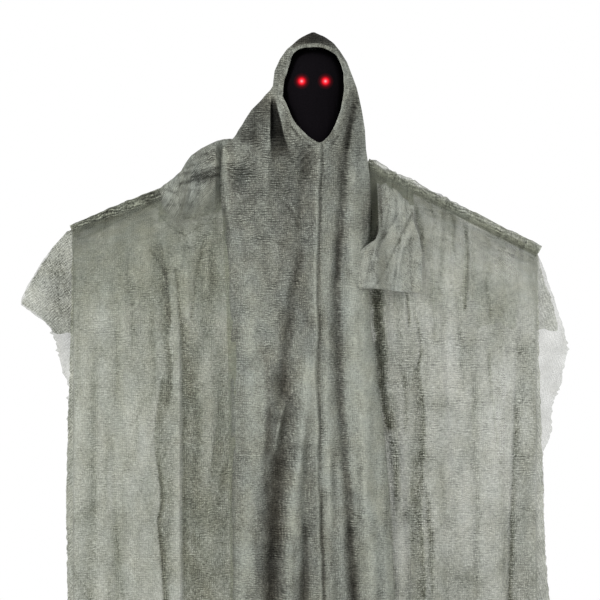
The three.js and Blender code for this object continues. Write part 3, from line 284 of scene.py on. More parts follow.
def gauze_weave():
    """The weave of crinkled gauze: its colour, its height and how much it covers."""
    tree, start, end = new_group("gauze_weave", [
        ("Cloth", VECTOR, None), ("Gather_and_shade", FLOAT, 0.0), ("Rib", FLOAT, 0.0), ("Fade", FLOAT, 1.0),
        ("Cover", FLOAT, 0.6), ("Contrast", FLOAT, 1.0), ("Light", COLOUR, None), ("Deep", COLOUR, None),
    ], [("Color", COLOUR), ("Height", FLOAT), ("Cover", FLOAT)])
    cloth, gather_and_shade, rib = (start.outputs[label] for label in ("Cloth", "Gather_and_shade", "Rib"))
    noises = {label: scaled_noise(tree, cloth, *values) for label, values in WEAVE_NOISE.items()}
    ribs = bands(tree, cloth, "Y", 0.0054, 11.0, 3.0, 0.5, 0.55)
    threads = bands(tree, cloth, "X", 0.0043, 5.0, 2.0, 0.45, 0.5)

    # Ribs and threads that come and go in patches, then the crêpe's dashes over them
    patches = calc(tree, "MAXIMUM", calc(tree, "MULTIPLY_ADD", noises["patches"], 4.0, 1.0), 0.2)
    strands = calc(tree, "MAXIMUM", calc(tree, "MULTIPLY_ADD", noises["strands"], 4.0, 1.0), 0.15)
    rib_strength = calc(tree, "MULTIPLY", patches, calc(tree, "MULTIPLY_ADD", rib, 0.75, 0.16))
    weave = calc(tree, "MULTIPLY", ribs, rib_strength)
    weave = calc(tree, "MULTIPLY_ADD", threads, calc(tree, "MULTIPLY", strands, 0.24), weave)
    weave = calc(tree, "MULTIPLY_ADD", calc(tree, "MULTIPLY", ribs, threads), 0.5, weave)
    for label, share in WEAVE_SHARES.items():
        weave = calc(tree, "MULTIPLY_ADD", noises[label], share, weave)
    lines = calc(tree, "MULTIPLY", calc(tree, "ABSOLUTE", noises["lines"]), 16.0)
    lines = calc(tree, "SUBTRACT", 1.0, lines, clamp=True)
    lines = calc(tree, "MULTIPLY", lines, calc(tree, "MULTIPLY_ADD", rib, -0.6, -0.05))
    weave = calc(tree, "MULTIPLY_ADD", lines, patches, weave)
    sharp = calc(tree, "MULTIPLY", ranged(tree, gather_and_shade, 0.0, 0.8, 0.65, 1.15), start.outputs["Contrast"])
    weave = calc(tree, "MULTIPLY", weave, sharp)

    # Colour: darker or lighter by powers of two with the gather's painted shade and light, and browner where
    # it is deep
    power = calc(tree, "MULTIPLY_ADD", noises["mottle"], 0.7, calc(tree, "MULTIPLY", gather_and_shade, -1.0))
    shade = calc(tree, "POWER", 2.0, calc(tree, "MULTIPLY_ADD", weave, 1.15, power))
    depth = ranged(tree, calc(tree, "MULTIPLY_ADD", noises["mottle"], 1.4, gather_and_shade), 0.3, 2.6, 0.0, 0.9)
    depth = calc(tree, "MULTIPLY", depth, calc(tree, "SUBTRACT", 1.0, rib, clamp=True))
    base = mixed(tree, depth, start.outputs["Light"], start.outputs["Deep"])
    warmth = calc(tree, "MULTIPLY_ADD", noises["tint"], 2.4, 0.5, clamp=True)
    base = vector(tree, "MULTIPLY", base, {1: mixed(tree, warmth, COOL_TINT, WARM_TINT)}).outputs[0]
    colour = vector(tree, "SCALE", base, {"Scale": shade}).outputs[0]

    # Cover: closed where it is gathered, open between the threads
    cover = calc(tree, "MULTIPLY_ADD", gather_and_shade, 0.45, start.outputs["Cover"])
    cover = calc(tree, "MULTIPLY_ADD", weave, -0.18, cover)
    cover = calc(tree, "MULTIPLY_ADD", noises["mottle"], -0.2, cover)
    cover = calc(tree, "MINIMUM", calc(tree, "MAXIMUM", cover, 0.1), 1.0)
    cover = calc(tree, "MULTIPLY", cover, start.outputs["Fade"])
    fill(tree, end, {"Color": colour, "Height": weave, "Cover": cover})
    return tree


weave_group = gauze_weave()
print("weave group has", len(weave_group.nodes), "nodes")

# %% [markdown]
# Each gauze material puts the group in a Principled shader. The robe's middle is several layers of
# gauze and hides what is inside. The cloth over the arms is one open layer in front and one behind, and
# lets much of the light through.

# %% Gauze materials
GREY_GREEN = (0.414, 0.433, 0.374)
OPEN_GREY = (0.414, 0.436, 0.345)
FLAP_GREY = (0.42, 0.435, 0.378)
# the brown the cloth turns to, partly in random mottling and partly where the gather's painted shade is deep
DEEP_BROWN = (0.445, 0.415, 0.335)


def gauze(name, cover, contrast=1.0, light=GREY_GREEN):
    """A gauze finish, from how closed its weave is, how strongly it shows and its colour."""
    material, tree, shader = new_material(name)
    stored = {label: add(tree, "ShaderNodeAttribute", attribute_name=label.lower()).outputs["Fac"]
              for label in ("Gather_and_shade", "Rib", "Fade")}
    weave = add(tree, "ShaderNodeGroup", {
        "Cloth": add(tree, "ShaderNodeUVMap", uv_map="cloth").outputs[0], **stored,
        "Cover": cover, "Contrast": contrast, "Light": (*light, 1), "Deep": (*DEEP_BROWN, 1),
    }, node_tree=weave_group).outputs
    bump = add(tree, "ShaderNodeBump", {"Strength": 0.7, "Distance": 0.003, "Height": weave["Height"]})
    fill(tree, shader, {
        "Base Color": weave["Color"], "Alpha": weave["Cover"], "Normal": bump.outputs[0],
        "Roughness": 0.95, "Specular IOR Level": 0.1,
    })
    return material


robe_gauze = gauze("robe_gauze", 1.05)
hood_gauze = gauze("hood_gauze", 1.15)
hem_gauze = gauze("hem_gauze", 1.3, 0.8)
heap_gauze = gauze("heap_gauze", 1.1)
flap_gauze = gauze("flap_gauze", 1.0, 1.2, FLAP_GREY)
left_gauze = gauze("left_gauze", 0.72, 1.15, OPEN_GREY)
right_gauze = gauze("right_gauze", 0.64, 1.3, OPEN_GREY)
cape_gauze = gauze("cape_gauze", 0.55, 1.4, OPEN_GREY)
under_gauze = gauze("under_gauze", 0.46, 0.85, OPEN_GREY)
print("gauze materials", len(bpy.data.materials))

# %% [markdown]
# The face is black knit cloth over the head. The two lamps are behind it and shine through as a small
# pale core with a red glow round it, so the glow is painted in the knit itself, at each lamp's place.

# %% Face knit
lamps = {side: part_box(f"eye_led_{side}") for side in ("left", "right")}
lamp_middles = {side: (low + high) / 2 for side, (low, high) in lamps.items()}
GLOW_REACH = 0.0192
GLOW_DROP = 0.002  # the glow stands a little lower on the knit than the lamp behind it
GLOW_STRENGTH = 1.15
# The glow's colours from its rim to its core
GLOW_STOPS = [
    (0.3, (0.035, 0, 0.001)), (0.5, (0.22, 0.001, 0.004)), (0.62, (0.72, 0.004, 0.012)),
    (0.74, (1, 0.02, 0.035)), (0.86, (1, 0.13, 0.16)), (0.95, (1, 0.38, 0.42)),
]
KNIT_DARK = (0.003, 0.0026, 0.0034)
KNIT_LIGHT = (0.0078, 0.0062, 0.0082)


def face_knit():
    """Black knit, lit through at the two lamps."""
    material, tree, shader = new_material("face_knit")
    place = add(tree, "ShaderNodeNewGeometry").outputs["Position"]
    flat = vector(tree, "MULTIPLY", place, {1: (1, 0, 1)}).outputs[0]
    nearness = []
    for middle in lamp_middles.values():
        away = vector(tree, "DISTANCE", flat, {1: (middle.x, 0, middle.z - GLOW_DROP)})
        nearness.append(ranged(tree, away.outputs["Value"], 0.0, GLOW_REACH, 1.0, 0.0))
    ramp = add(tree, "ShaderNodeValToRGB", {"Fac": calc(tree, "MAXIMUM", *nearness)})
    stops = ramp.color_ramp.elements
    stops.remove(stops[1])
    for position, colour in GLOW_STOPS:
        stops.new(position).color = (*colour, 1)
    ribs_at = add(tree, "ShaderNodeMapping", {"Vector": place, "Scale": (260, 260, 420)}).outputs[0]
    ribs = add(tree, "ShaderNodeTexNoise", {"Vector": ribs_at, "Scale": 1.0, "Detail": 2.0}).outputs["Fac"]
    bump = add(tree, "ShaderNodeBump", {"Strength": 0.35, "Distance": 0.001, "Height": ribs})
    fill(tree, shader, {
        "Base Color": mixed(tree, ribs, KNIT_DARK, KNIT_LIGHT), "Normal": bump.outputs[0],
        "Emission Color": ramp.outputs["Color"], "Emission Strength": GLOW_STRENGTH,
        "Roughness": 1.0, "Specular IOR Level": 0.05,
    })
    return material


knit = face_knit()

# %% [markdown]
# The hard parts are inside the robe and show from below and behind. Moulded plastic has a fine grain
# and handling marks, and plated steel has a drawn finish. One group makes both, from the place on the
# part.

# %% Hard finishes


def surface_grain():
    """Fine grain with sparse rubbed marks."""
    tree, start, end = new_group("surface_grain", [("Grain Scale", FLOAT, 900.0), ("Marks", FLOAT, 0.5)],
                                 [("Height", FLOAT), ("Mark", FLOAT)])
    place = add(tree, "ShaderNodeTexCoord").outputs["Object"]
    grain = add(tree, "ShaderNodeTexNoise", {
        "Vector": place, "Scale": start.outputs["Grain Scale"], "Detail": 2.0,
    }).outputs["Fac"]
    rubbed = add(tree, "ShaderNodeTexNoise", {"Vector": place, "Scale": 45.0, "Detail": 6.0}).outputs["Fac"]
    mark = calc(tree, "MULTIPLY", calc(tree, "GREATER_THAN", rubbed, 0.6), start.outputs["Marks"])
    fill(tree, end, {"Height": grain, "Mark": mark})
    return tree


grain_group = surface_grain()


def hard(name, colour, worn, roughness, metallic=0.0, grain_scale=900.0, bump_strength=0.25):
    """A hard finish with grain and rubbed marks."""
    material, tree, shader = new_material(name)
    grain = add(tree, "ShaderNodeGroup", {"Grain Scale": grain_scale}, node_tree=grain_group).outputs
    bump = add(tree, "ShaderNodeBump", {
        "Strength": bump_strength, "Distance": 0.0004, "Height": grain["Height"],
    })
    fill(tree, shader, {
        "Base Color": mixed(tree, grain["Mark"], colour, worn),
        "Roughness": calc(tree, "MULTIPLY_ADD", grain["Height"], 0.2, roughness - 0.1),
        "Metallic": metallic, "Normal": bump.outputs[0],
    })
    return material


finish_of_slot = {
    "gauze": robe_gauze,
    "black_knit": knit,
    "black_plastic": hard("black_plastic", (0.012, 0.012, 0.013), (0.03, 0.03, 0.032), 0.5),
    "grey_plastic": hard("grey_plastic", (0.045, 0.045, 0.048), (0.07, 0.07, 0.074), 0.45),
    "steel": hard("plated_steel", (0.55, 0.56, 0.57), (0.4, 0.4, 0.4), 0.32, metallic=1.0,
                  grain_scale=2500.0),
    "red_lens": hard("red_lens", (0.8, 0.02, 0.02), (0.8, 0.05, 0.05), 0.15, bump_strength=0.05),
    "lead_sleeve": hard("lead_sleeve", (0.2, 0.012, 0.012), (0.25, 0.03, 0.03), 0.5),
    "board_green": hard("board_green", (0.013, 0.1, 0.035), (0.2, 0.16, 0.05), 0.45, grain_scale=1400.0),
    "cell_jacket": hard("cell_jacket", (0.1, 0.105, 0.13), (0.2, 0.2, 0.22), 0.3, metallic=0.5),
}
lens_tree = finish_of_slot["red_lens"].node_tree
fill(lens_tree, lens_tree.nodes["Principled BSDF"], {
    "Emission Color": (1, 0.02, 0.03, 1), "Emission Strength": 2.0,
})
for part in frame["record"]["subparts"]:
    node = frame["nodes"][part["node"]]
    node.data.materials.clear()
    node.data.materials.append(finish_of_slot[part["material_slot"]])

floor_material, floor_tree, floor_shader = new_material("pale_floor")
fill(floor_tree, floor_shader, {"Base Color": (0.86, 0.86, 0.85, 1), "Roughness": 0.8})
floor.data.materials.append(floor_material)
print("hard finishes set on", len(frame["nodes"]), "nodes")

# %% [markdown]
# Cloth needs unevenness at every size. This noise is made from a seeded table of random numbers, so it
# is the same on each run. A crease is the sharp ridge where that noise crosses its middle.

# %% Noise and profiles
TABLE_SIZE = 64


def noise(s, t, seed):
    """Smooth random values from 0 to 1 over a plane, one cell to a unit."""
    table = np.random.default_rng(seed).random((TABLE_SIZE, TABLE_SIZE))
    s, t = np.broadcast_arrays(np.asarray(s, float), np.asarray(t, float))
    i, j = np.floor(s).astype(int), np.floor(t).astype(int)
    a, b = s - i, t - j
    a, b = a * a * (3 - 2 * a), b * b * (3 - 2 * b)
    i0, i1, j0, j1 = i % TABLE_SIZE, (i + 1) % TABLE_SIZE, j % TABLE_SIZE, (j + 1) % TABLE_SIZE
    low = table[i0, j0] * (1 - a) + table[i1, j0] * a
    high = table[i0, j1] * (1 - a) + table[i1, j1] * a
    return low * (1 - b) + high * b


def creases(s, t, seed):
    """Sharp ridges from 0 to 1 that wander over a plane."""
    return (1 - np.abs(2 * noise(s, t, seed) - 1)) ** 2


def ease(value, low, high):
    """0 below low, 1 above high, smooth between."""
    share = np.clip((np.asarray(value, float) - low) / (high - low), 0, 1)
    return share * share * (3 - 2 * share)


def along(pairs, place):
    """The value at a place along [place, value] pairs."""
    pairs = sorted(pairs)
    return np.interp(place, [p for p, _ in pairs], [v for _, v in pairs])


def rounded(pairs, reach=0.012):
    """Like along, as a function whose corners are rounded over a reach."""
    pairs = sorted(pairs)
    steps = np.linspace(-reach, reach, 9)
    weights = np.exp(-(2 * steps / reach) ** 2)
    weights /= weights.sum()

    def value(place):
        place = np.asarray(place, float)
        return sum(w * along(pairs, place + step) for w, step in zip(weights, steps))

    return value


def photo_edge(points, reach=0.006):
    """The place across of an edge in the photograph, as a rounded function of height."""
    return rounded([(float(photo_z(row)), float(photo_x(column))) for column, row in points], reach)


# %% [markdown]
# A fold is a path down the cloth. It has a depth in millimetres, which is negative for a ridge, a width on
# each side in pixels of the photograph, and a gather that makes it denser and darker with painted shade,
# or lighter with painted light where it is negative. A fold with one narrow side has a crisp edge there,
# as a pressed pleat has. Shades are wider soft areas of painted shade, or of painted light where their
# gather is negative, each a middle, its half sizes in pixels and a gather.

# %% Folds
FOLD_END = 0.03
LIT_SHIFT = 0.35  # a fold's painted shade is moved to its right by this share of its depth, to offset the key light's real shading on its left


def bell(off, left, right):
    """A smooth rise and fall about a path, with its own width on each side in pixels of the photograph."""
    return np.exp(-(off / (np.where(off < 0, left, right) * METRES_PER_PIXEL)) ** 2)


def fold_relief(folds, x, z):
    """The depth of all folds at places on a cloth, and their gather with its painted shade and light."""
    depth = np.zeros_like(x)
    gather_and_shade = np.zeros_like(x)
    for deep, left, right, dark, path in folds:
        heights = [float(photo_z(row)) for _, row in path]
        low, high = min(heights), max(heights)
        seed = int(path[0][0] * 7)
        stray = 0.5 * (noise(z / 0.03, 0.4, seed) - 0.5) + 0.32 * (noise(z / 0.009, x / 0.02, seed + 1) - 0.5)
        off = x - photo_edge(path, 0.02)(z) - stray * (min(left, right) + 0.5) * METRES_PER_PIXEL
        end = min(FOLD_END + 0.0025 * abs(deep), (high - low) / 2.5) / 2
        ends = ease(z, low - end, low + end) * (1 - ease(z, high - end, high + end))
        depth += deep / 1000 * ends * bell(off, left, right)
        broken = 0.7 + 0.6 * noise(x / 0.007, z / 0.016, seed + 2)
        # Painted shade along a fold's valley, painted light along a ridge, moved right by LIT_SHIFT
        gather_and_shade += dark * ends * broken * bell(off - LIT_SHIFT * max(deep, 0) / 1000, left, right)
    return depth, gather_and_shade


def stroke_relief(strokes, x, z):
    """The depth of creases that run in any direction, and their gather with its painted shade and light, by
    their distance from a path.
    """
    depth = np.zeros_like(x)
    gather_and_shade = np.zeros_like(x)
    for deep, wide, dark, path in strokes:
        spots = [(float(photo_x(column)), float(photo_z(row))) for column, row in path]
        near = np.full_like(x, np.inf)
        for (x0, z0), (x1, z1) in zip(spots[:-1], spots[1:]):
            long = (x1 - x0) ** 2 + (z1 - z0) ** 2
            share = np.clip(((x - x0) * (x1 - x0) + (z - z0) * (z1 - z0)) / long, 0, 1)
            near = np.minimum(near, np.hypot(x - x0 - share * (x1 - x0), z - z0 - share * (z1 - z0)))
        shape = np.exp(-(near / (wide * METRES_PER_PIXEL)) ** 2)
        depth += deep / 1000 * shape
        gather_and_shade += dark * shape
    return depth, gather_and_shade


def relief(folds, strokes, x, z):
    """The depth of folds and creases together, and their gather with its painted shade and light."""
    depth, gather_and_shade = fold_relief(folds, x, z)
    fine, dark = stroke_relief(strokes, x, z)
    return depth + fine, gather_and_shade + dark


def soft_shades(shades, x, z):
    """The painted shade and painted light of the wider soft areas, as gather."""
    total = np.zeros_like(x)
    for column, row, half_wide, half_high, dark in shades:
        across = (x - photo_x(column)) / (half_wide * METRES_PER_PIXEL)
        down = (z - photo_z(row)) / (half_high * METRES_PER_PIXEL)
        total += dark * np.exp(-across ** 2 - down ** 2)
    return total


# %% [markdown]
# Every sheet is a grid of points. This makes its mesh, stores the cloth's own coordinates as a UV map
# for the weave, and stores its gather, which also carries painted shade and light, its rib and its fade
# values at each point.

# %% Sheet maker


def cloth_object(name, points, faces, cloth, values, material):
    """A cloth piece from its points, faces, cloth coordinates and stored values."""
    mesh = bpy.data.meshes.new(name)
    mesh.from_pydata(points.tolist(), [], faces.tolist())
    layer = mesh.uv_layers.new(name="cloth")
    corners = np.empty(len(mesh.loops), np.int32)
    mesh.loops.foreach_get("vertex_index", corners)
    layer.data.foreach_set("uv", cloth[corners].astype(np.float32).reshape(-1))
    for label, value in zip(("gather_and_shade", "rib", "fade"), values):
        mesh.attributes.new(label, "FLOAT", "POINT").data.foreach_set("value", value.astype(np.float32))
    mesh.shade_smooth()
    mesh.materials.append(material)
    obj = bpy.data.objects.new(name, mesh)
    scene.collection.objects.link(obj)
    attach(obj, "root")
    return obj


def sheet_object(name, points, cloth, values, material, keep=None):
    """A cloth piece from a grid of points, less the faces that aren't wholly in keep."""
    rows, columns = points.shape[:2]
    index = np.arange(rows * columns).reshape(rows, columns)
    quads = np.stack([index[:-1, :-1], index[1:, :-1], index[1:, 1:], index[:-1, 1:]], axis=-1).reshape(-1, 4)
    if keep is not None:
        quads = quads[keep.reshape(-1)[quads].all(axis=1)]
    used = np.unique(quads)
    renumber = np.full(rows * columns, -1)
    renumber[used] = np.arange(len(used))
    flat = [np.broadcast_to(value, (rows, columns)).reshape(-1)[used] for value in values]
    points, cloth = points.reshape(-1, 3)[used], cloth.reshape(-1, 2)[used]
    return cloth_object(name, points, renumber[quads], cloth, flat, material)


def stacked(*values):
    """Grids of values side by side, as the coordinates of a grid of points."""
    return np.stack(np.broadcast_arrays(*values), axis=-1)


def run_lengths(points):
    """Cloth coordinates from the lengths along a grid's rows and columns."""
    across = np.linalg.norm(np.diff(points, axis=1), axis=-1)
    down = np.linalg.norm(np.diff(points, axis=0), axis=-1)
    s = np.concatenate([np.zeros((points.shape[0], 1)), np.cumsum(across, axis=1)], axis=1)
    t = np.concatenate([np.zeros((1, points.shape[1])), np.cumsum(down, axis=0)], axis=0)
    return stacked(s, t)


def turned(x, z, across, up):
    """Cloth coordinates whose ribs run along a direction, given across and up in the photograph."""
    long = math.hypot(across, up)
    across, up = across / long, up / long
    return stacked(x * across + z * up, x * up - z * across)


def mesh_area(obj):
    """The area of a sheet's faces."""
    return sum(face.area for face in obj.data.polygons)


# %% [markdown]
# The front of the robe is one continuous cloth from the peak of the hood to the hem. Its outline comes
# from the photograph, and how far forward it stands comes from the frame, so hood and gown are worked
# out with the same functions and meet with no step between them.

# %% Robe outline
PEAK_ROW = 33
GOWN_TOP = float(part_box("gown_front")[1].z)
HEM_Z = float(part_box("gown_front")[0].z)
HEM_ROW = EYE_ROW - HEM_Z / METRES_PER_PIXEL

left_edge = photo_edge([
    (312.5, 32.4), (308, 34), (302, 37), (297.5, 40), (291.5, 45.5), (287, 49), (280, 59), (274.5, 71),
    (272.8, 86), (270.3, 90), (265.3, 95), (261.3, 100), (256.3, 105), (251.3, 110), (248, 115),
    (244.8, 120), (242, 125), (238.4, 130), (235.8, 135), (232, 139.5), (225.5, 144), (221.5, 149),
    (220.3, 156), (220.3, 190), (221.5, 205), (223, 225), (224, 250), (226, 300), (228, 360), (230, 560),
    (230.4, HEM_ROW),
], 0.003)
right_edge = photo_edge([
    (314.5, 32.4), (318, 34), (324, 36.4), (328, 39), (333.5, 43), (340, 51), (347, 62), (352, 75),
    (356.5, 87), (359, 97), (362, 111), (365, 130), (366, 149), (369, 170), (370, 181), (371, 201),
    (369.5, 238), (370, 289), (371, 330), (375, 350), (380, 400), (385, 440), (390, 500), (394, 580),
    (400, HEM_ROW),
], 0.003)

# How far forward and back the robe stands at each height, and how pinched its sides are. The left side is
# drawn out flat into the cloth over the arm.
forward = rounded([
    (0.0102, 0.021), (0.006, 0.034), (0.0, 0.047), (-0.009, 0.058), (-0.018, 0.064), (-0.032, 0.072),
    (-0.054, 0.082), (-0.082, 0.091), (-0.112, 0.095), (-0.14, 0.097), (-0.17, 0.098), (-0.198, 0.099),
    (-0.225, 0.1), (-0.32, 0.1), (-0.56, 0.096), (-1.16, 0.09), (-1.79, 0.093),
])
backward = rounded([
    (0.0102, -0.016), (-0.0085, -0.0135), (-0.0095, 0.0), (-0.013, 0.022), (-0.018, 0.042), (-0.032, 0.062),
    (-0.054, 0.079), (-0.082, 0.09), (-0.112, 0.096), (-0.17, 0.1), (-0.257, 0.102), (-0.32, 0.102),
    (-0.56, 0.092), (-1.16, 0.082), (-1.79, 0.086),
], 0.004)
right_pinch = rounded([
    (0.01, 1.0), (-0.02, 0.92), (-0.11, 0.9), (-0.17, 1.1), (-0.225, 1.35), (-0.257, 1.45), (-0.3, 1.0),
    (-0.6, 0.62), (-1.79, 0.6),
])
left_pinch = rounded([
    (0.01, 1.0), (-0.02, 0.92), (-0.11, 0.9), (-0.17, 1.1), (-0.225, 1.35), (-0.257, 1.5), (-0.32, 2.1),
    (-0.6, 2.3), (-1.79, 2.3),
])
side_gap = rounded([
    (-0.25, 0.0), (-0.262, 0.009), (-0.29, 0.019), (-0.33, 0.0235), (-0.41, 0.029), (-1.79, 0.03),
], 0.006)


def robe_face(x, z, reach):
    """How far out the robe's cloth stands at places across and up, before its folds."""
    across = np.clip(np.where(x < 0, x / np.minimum(left_edge(z), -1e-4),
                              x / np.maximum(right_edge(z), 1e-4)), 0, 1)
    swell = np.sqrt(np.clip(1 - across ** 2, 0, 1)) ** np.where(x < 0, left_pinch(z), right_pinch(z))
    gap = side_gap(z)
    return gap + (reach(z) - gap) * swell


# %% [markdown]
# These are the folds of the robe's front as the photograph shows them: the long valley right of the chin,
# the sewn seam down the middle, the creases round the neck, and the deep folds that open further down.
# Below the photograph's edge they run on to the hem. Their gather paints shade in the valleys and light on
# the ridges. The hood's left drape hangs clear of its front, and the dark pocket between them is painted
# shadow, an area of its own with two crisp sides.

# %% Robe folds
FOOT = HEM_ROW + 30
SEAM = [
    (321.6, 142), (321.6, 168), (319.7, 194), (318.4, 245), (316.5, 296), (318.5, 330), (316.4, 373),
    (319, 433), (319, 485), (321.6, 537), (323, 600), (324, FOOT),
]
front_folds = [
    (-4, 3, 4, -0.25, [(269, 122), (268.5, 150), (268, 175), (266, 225)]),
    (4, 4.5, 5, 0.45, [(250, 150), (246, 164), (239, 180), (232, 196)]),
    (-3, 2.2, 3.6, -0.15, [(224, 148), (224.3, 172), (225.5, 196), (229, 222)]),
    (3, 2, 2.4, 0.5, [(221, 196), (224, 207), (226.5, 222), (229, 236), (226.5, 249), (225, 264),
                      (227, 290)]),
    (2, 7, 7, 0.3, [(248, 185), (246, 205), (243, 228)]),
    (12, 4.2, 3.4, 1.0, [(353, 96), (352, 112), (348.5, 126), (347, 142), (345, 162), (342.5, 182),
                         (341.5, 205), (340, 225), (338.5, 245), (337.3, 265), (336.2, 285), (336.5, 310),
                         (337.5, 345), (338.5, 380), (340, 405), (342.5, 440), (346, 480), (349, 520),
                         (351.5, 555), (353.5, 590), (356, FOOT)]),
    (2, 3.2, 3, 0.8, [(354, 104), (352, 112), (348.5, 132), (346.5, 150)]),
    (2, 3.4, 3.4, 0.6, [(339.5, 232), (338, 250), (337, 266), (335.5, 284)]),
    (3, 4, 4, 0.7, [(350, 525), (352, 560), (354, 600), (356, FOOT)]),
    (-6, 5, 8, -0.45, [(354, 170), (354.5, 240), (355, 300), (357, 335), (361, 370), (364, 420), (367, 480),
                       (372, 540), (374, FOOT)]),
    (5, 3, 2, 0.3, [(367, 205), (366, 225), (367, 240), (367, 252)]),
    (-3.5, 2.2, 1.4, -0.32, [(column - 1.6, row) for column, row in SEAM]),
    (4, 1.1, 1.7, 0.35, [(column + 0.9, row) for column, row in SEAM]),
    (3, 1.6, 2, 0.5, [(320, 505), (322, 540), (323.5, 600), (324.5, FOOT)]),
    (-3, 3, 3, -0.3, [(327, 325), (327, 360), (327.5, 420), (329, 470), (331, 520)]),
    (6, 3, 3.4, 0.45, [(306, 150), (303.5, 172), (302, 192), (299, 215), (297, 240)]),
    (10, 5.5, 3.0, 1.0, [(302, 246), (297.5, 272), (293.5, 290), (290, 318), (287.5, 345), (284, 364),
                         (281.5, 392)]),
    (18, 9, 11, 0.95, [(286, 372), (285, 405), (284, 430), (279, 455), (275, 480), (273, 510), (271, 560),
                       (271, FOOT)]),
    (3, 5, 7, 1.3, [(279, 452), (275, 480), (273, 520), (271.5, 560), (271.5, FOOT)]),
    (2, 3, 3, 0.7, [(270, 408), (269, 430), (268, 455)]),
    (-8, 1.8, 2, -0.6, [(284.5, 402), (281.5, 418), (278.5, 434), (275, 450)]),
    (-8, 4.5, 5.5, -0.42, [(309, 352), (307, 395), (302, 435), (297, 470), (293, 505), (290, 545),
                           (288, 590), (287, FOOT)]),
    (11, 3, 4, 0.2, [(307, 440), (304.5, 490), (304, 540), (303, 590), (301, FOOT)]),
    (4, 3.4, 3.6, 0.75, [(305.5, 525), (305, 555), (304, 600), (302, FOOT)]),
    (-6, 9, 9, -0.25, [(251, 268), (250, 330), (250, 400), (250, 480), (246, 540), (244, FOOT)]),
    (5, 3, 4, 0.12, [(236, 290), (235, 400), (236, FOOT)]),
    (6, 3, 4, 0.3, [(333, 448), (335, 520), (337, 600), (339, FOOT)]),
    (5, 4, 4, 0.1, [(379, 520), (381, 620), (382, FOOT)]),
    (-1, 9, 12, -0.4, [(367, 225), (368, 330), (373, 400), (379, 450), (385, 520), (389, 590), (393, FOOT)]),
    (-4, 4, 4, -0.25, [(368, 440), (368, 470), (365, 505), (369, 540)]),
]
# Creases in any direction: their gather paints shade along them, or light where it is negative
front_strokes = [
    (2.5, 1.3, 0.7, [(300, 166), (306, 158.5), (313, 152)]),
    (2.5, 1.3, 0.7, [(303, 172), (309, 164), (317, 155)]),
    (2.5, 1.2, 0.5, [(306, 177), (311, 170), (319, 159)]),
    (2.5, 1.2, 0.45, [(295, 163), (302, 154), (310, 147)]),
    (2, 1.1, 0.6, [(346, 505), (355, 514), (364, 520)]),
    (2.5, 1.3, 0.7, [(290, 118), (293, 127), (298, 136)]),
    (2, 1.1, 0.5, [(297, 133), (303, 141), (310, 147)]),
    (2, 1.2, 0.4, [(288, 132), (294, 142), (303, 150)]),
    (2, 1.2, 0.5, [(330, 148), (336, 140), (341, 131)]),
    (2, 1.1, 0.9, [(227, 164), (235, 170), (246, 170), (254, 164)]),
    (2, 1.1, 1.0, [(227, 169.5), (236, 175.5), (247, 174.5), (254, 169)]),
    (2, 1.1, 0.9, [(228, 175), (237, 181), (247, 179)]),
    (2, 1.1, 0.7, [(229, 181), (237, 187), (246, 185)]),
    (2, 1.2, 0.5, [(231, 187), (239, 193), (248, 191)]),
    (2, 1.0, 0.7, [(275, 141), (281, 140.5), (287, 143)]),
    (2, 1.0, 0.8, [(274, 146), (282, 145), (290, 147)]),
    (2, 1.0, 0.8, [(274, 150.5), (283, 150), (292, 151)]),
    (2, 1.0, 0.6, [(275, 155.5), (284, 155), (294, 155)]),
    (2, 1.6, 0.45, [(240, 204), (252, 198), (260, 190)]),
    (2, 1.6, 0.4, [(286, 205), (294, 214), (298, 226)]),
    (2, 1.4, 0.35, [(268, 236), (280, 244), (292, 250)]),
    (-2, 1.6, -0.3, [(282, 196), (292, 205), (297, 217)]),
]
# Painted shade on the robe's front, and painted light where the gather is negative
front_shades = [
    (288, 188, 24, 48, 0.55), (305, 210, 10, 70, 0.35), (302, 168, 8, 12, 0.3), (293, 262, 16, 34, 0.2),
    (251, 120, 15, 20, 0.85), (331, 195, 10, 60, 0.2), (306, 300, 8, 22, 0.25), (262, 250, 30, 60, 0.12),
    (257, 103, 5, 6, 0.5), (335, 500, 9, 50, -0.25), (352, 400, 10, 80, -0.3), (282, 86, 6, 24, 0.3),
    (350, 75, 6, 28, -0.7), (367, 140, 5, 34, -0.4), (233, 262, 8, 32, 0.3), (352, 300, 10, 60, -0.2),
    (254, 135, 4, 7, 0.9), (245, 138, 4, 5, 0.6), (244, 147.5, 8, 3.5, -0.15), (251, 139, 8, 8, 0.6),
    (270, 112, 3.5, 20, 0.7), (264, 105, 7, 12, 0.85), (253, 122, 8, 10, 0.7), (242, 136, 8, 8, 0.7),
    (258, 142, 9, 9, 0.6), (263, 124, 5, 14, 0.5), (268, 158, 8, 10, 0.35), (231, 147, 6, 5, 0.6),
    (250, 165, 9, 12, 0.25), (238, 144, 5, 8, -0.3), (248, 128, 4, 8, -0.3), (252, 190, 10, 14, 0.4),
    (248, 212, 8, 14, 0.3), (266, 120, 4, 10, 0.3), (241, 172, 9, 9, 0.5), (365, 252, 5, 40, 0.4),
    (352, 250, 6, 50, 0.2), (295, 400, 8, 24, -0.25), (250, 300, 16, 40, -0.15), (273, 425, 5, 28, 0.55),
    (272, 370, 8, 32, 0.4), (282, 325, 5, 26, 0.3), (264, 520, 6, 80, 0.25), (302, 586, 5, 26, 0.45),
    (275, 265, 12, 20, 0.15), (311, 153, 5, 10, 0.5), (312, 218, 4, 44, 0.35), (326, 420, 6, 100, -0.1),
    (360, 500, 14, 60, -0.2), (284, 512, 5, 20, 0.2), (266, 575, 14, 40, 0.4), (309, 590, 5, 30, 0.3),
    (277, 92, 3.5, 12, -0.2), (280, 112, 3.5, 14, -0.3), (287, 132, 5, 10, 0.3), (300, 335, 8, 18, 0.35),
]
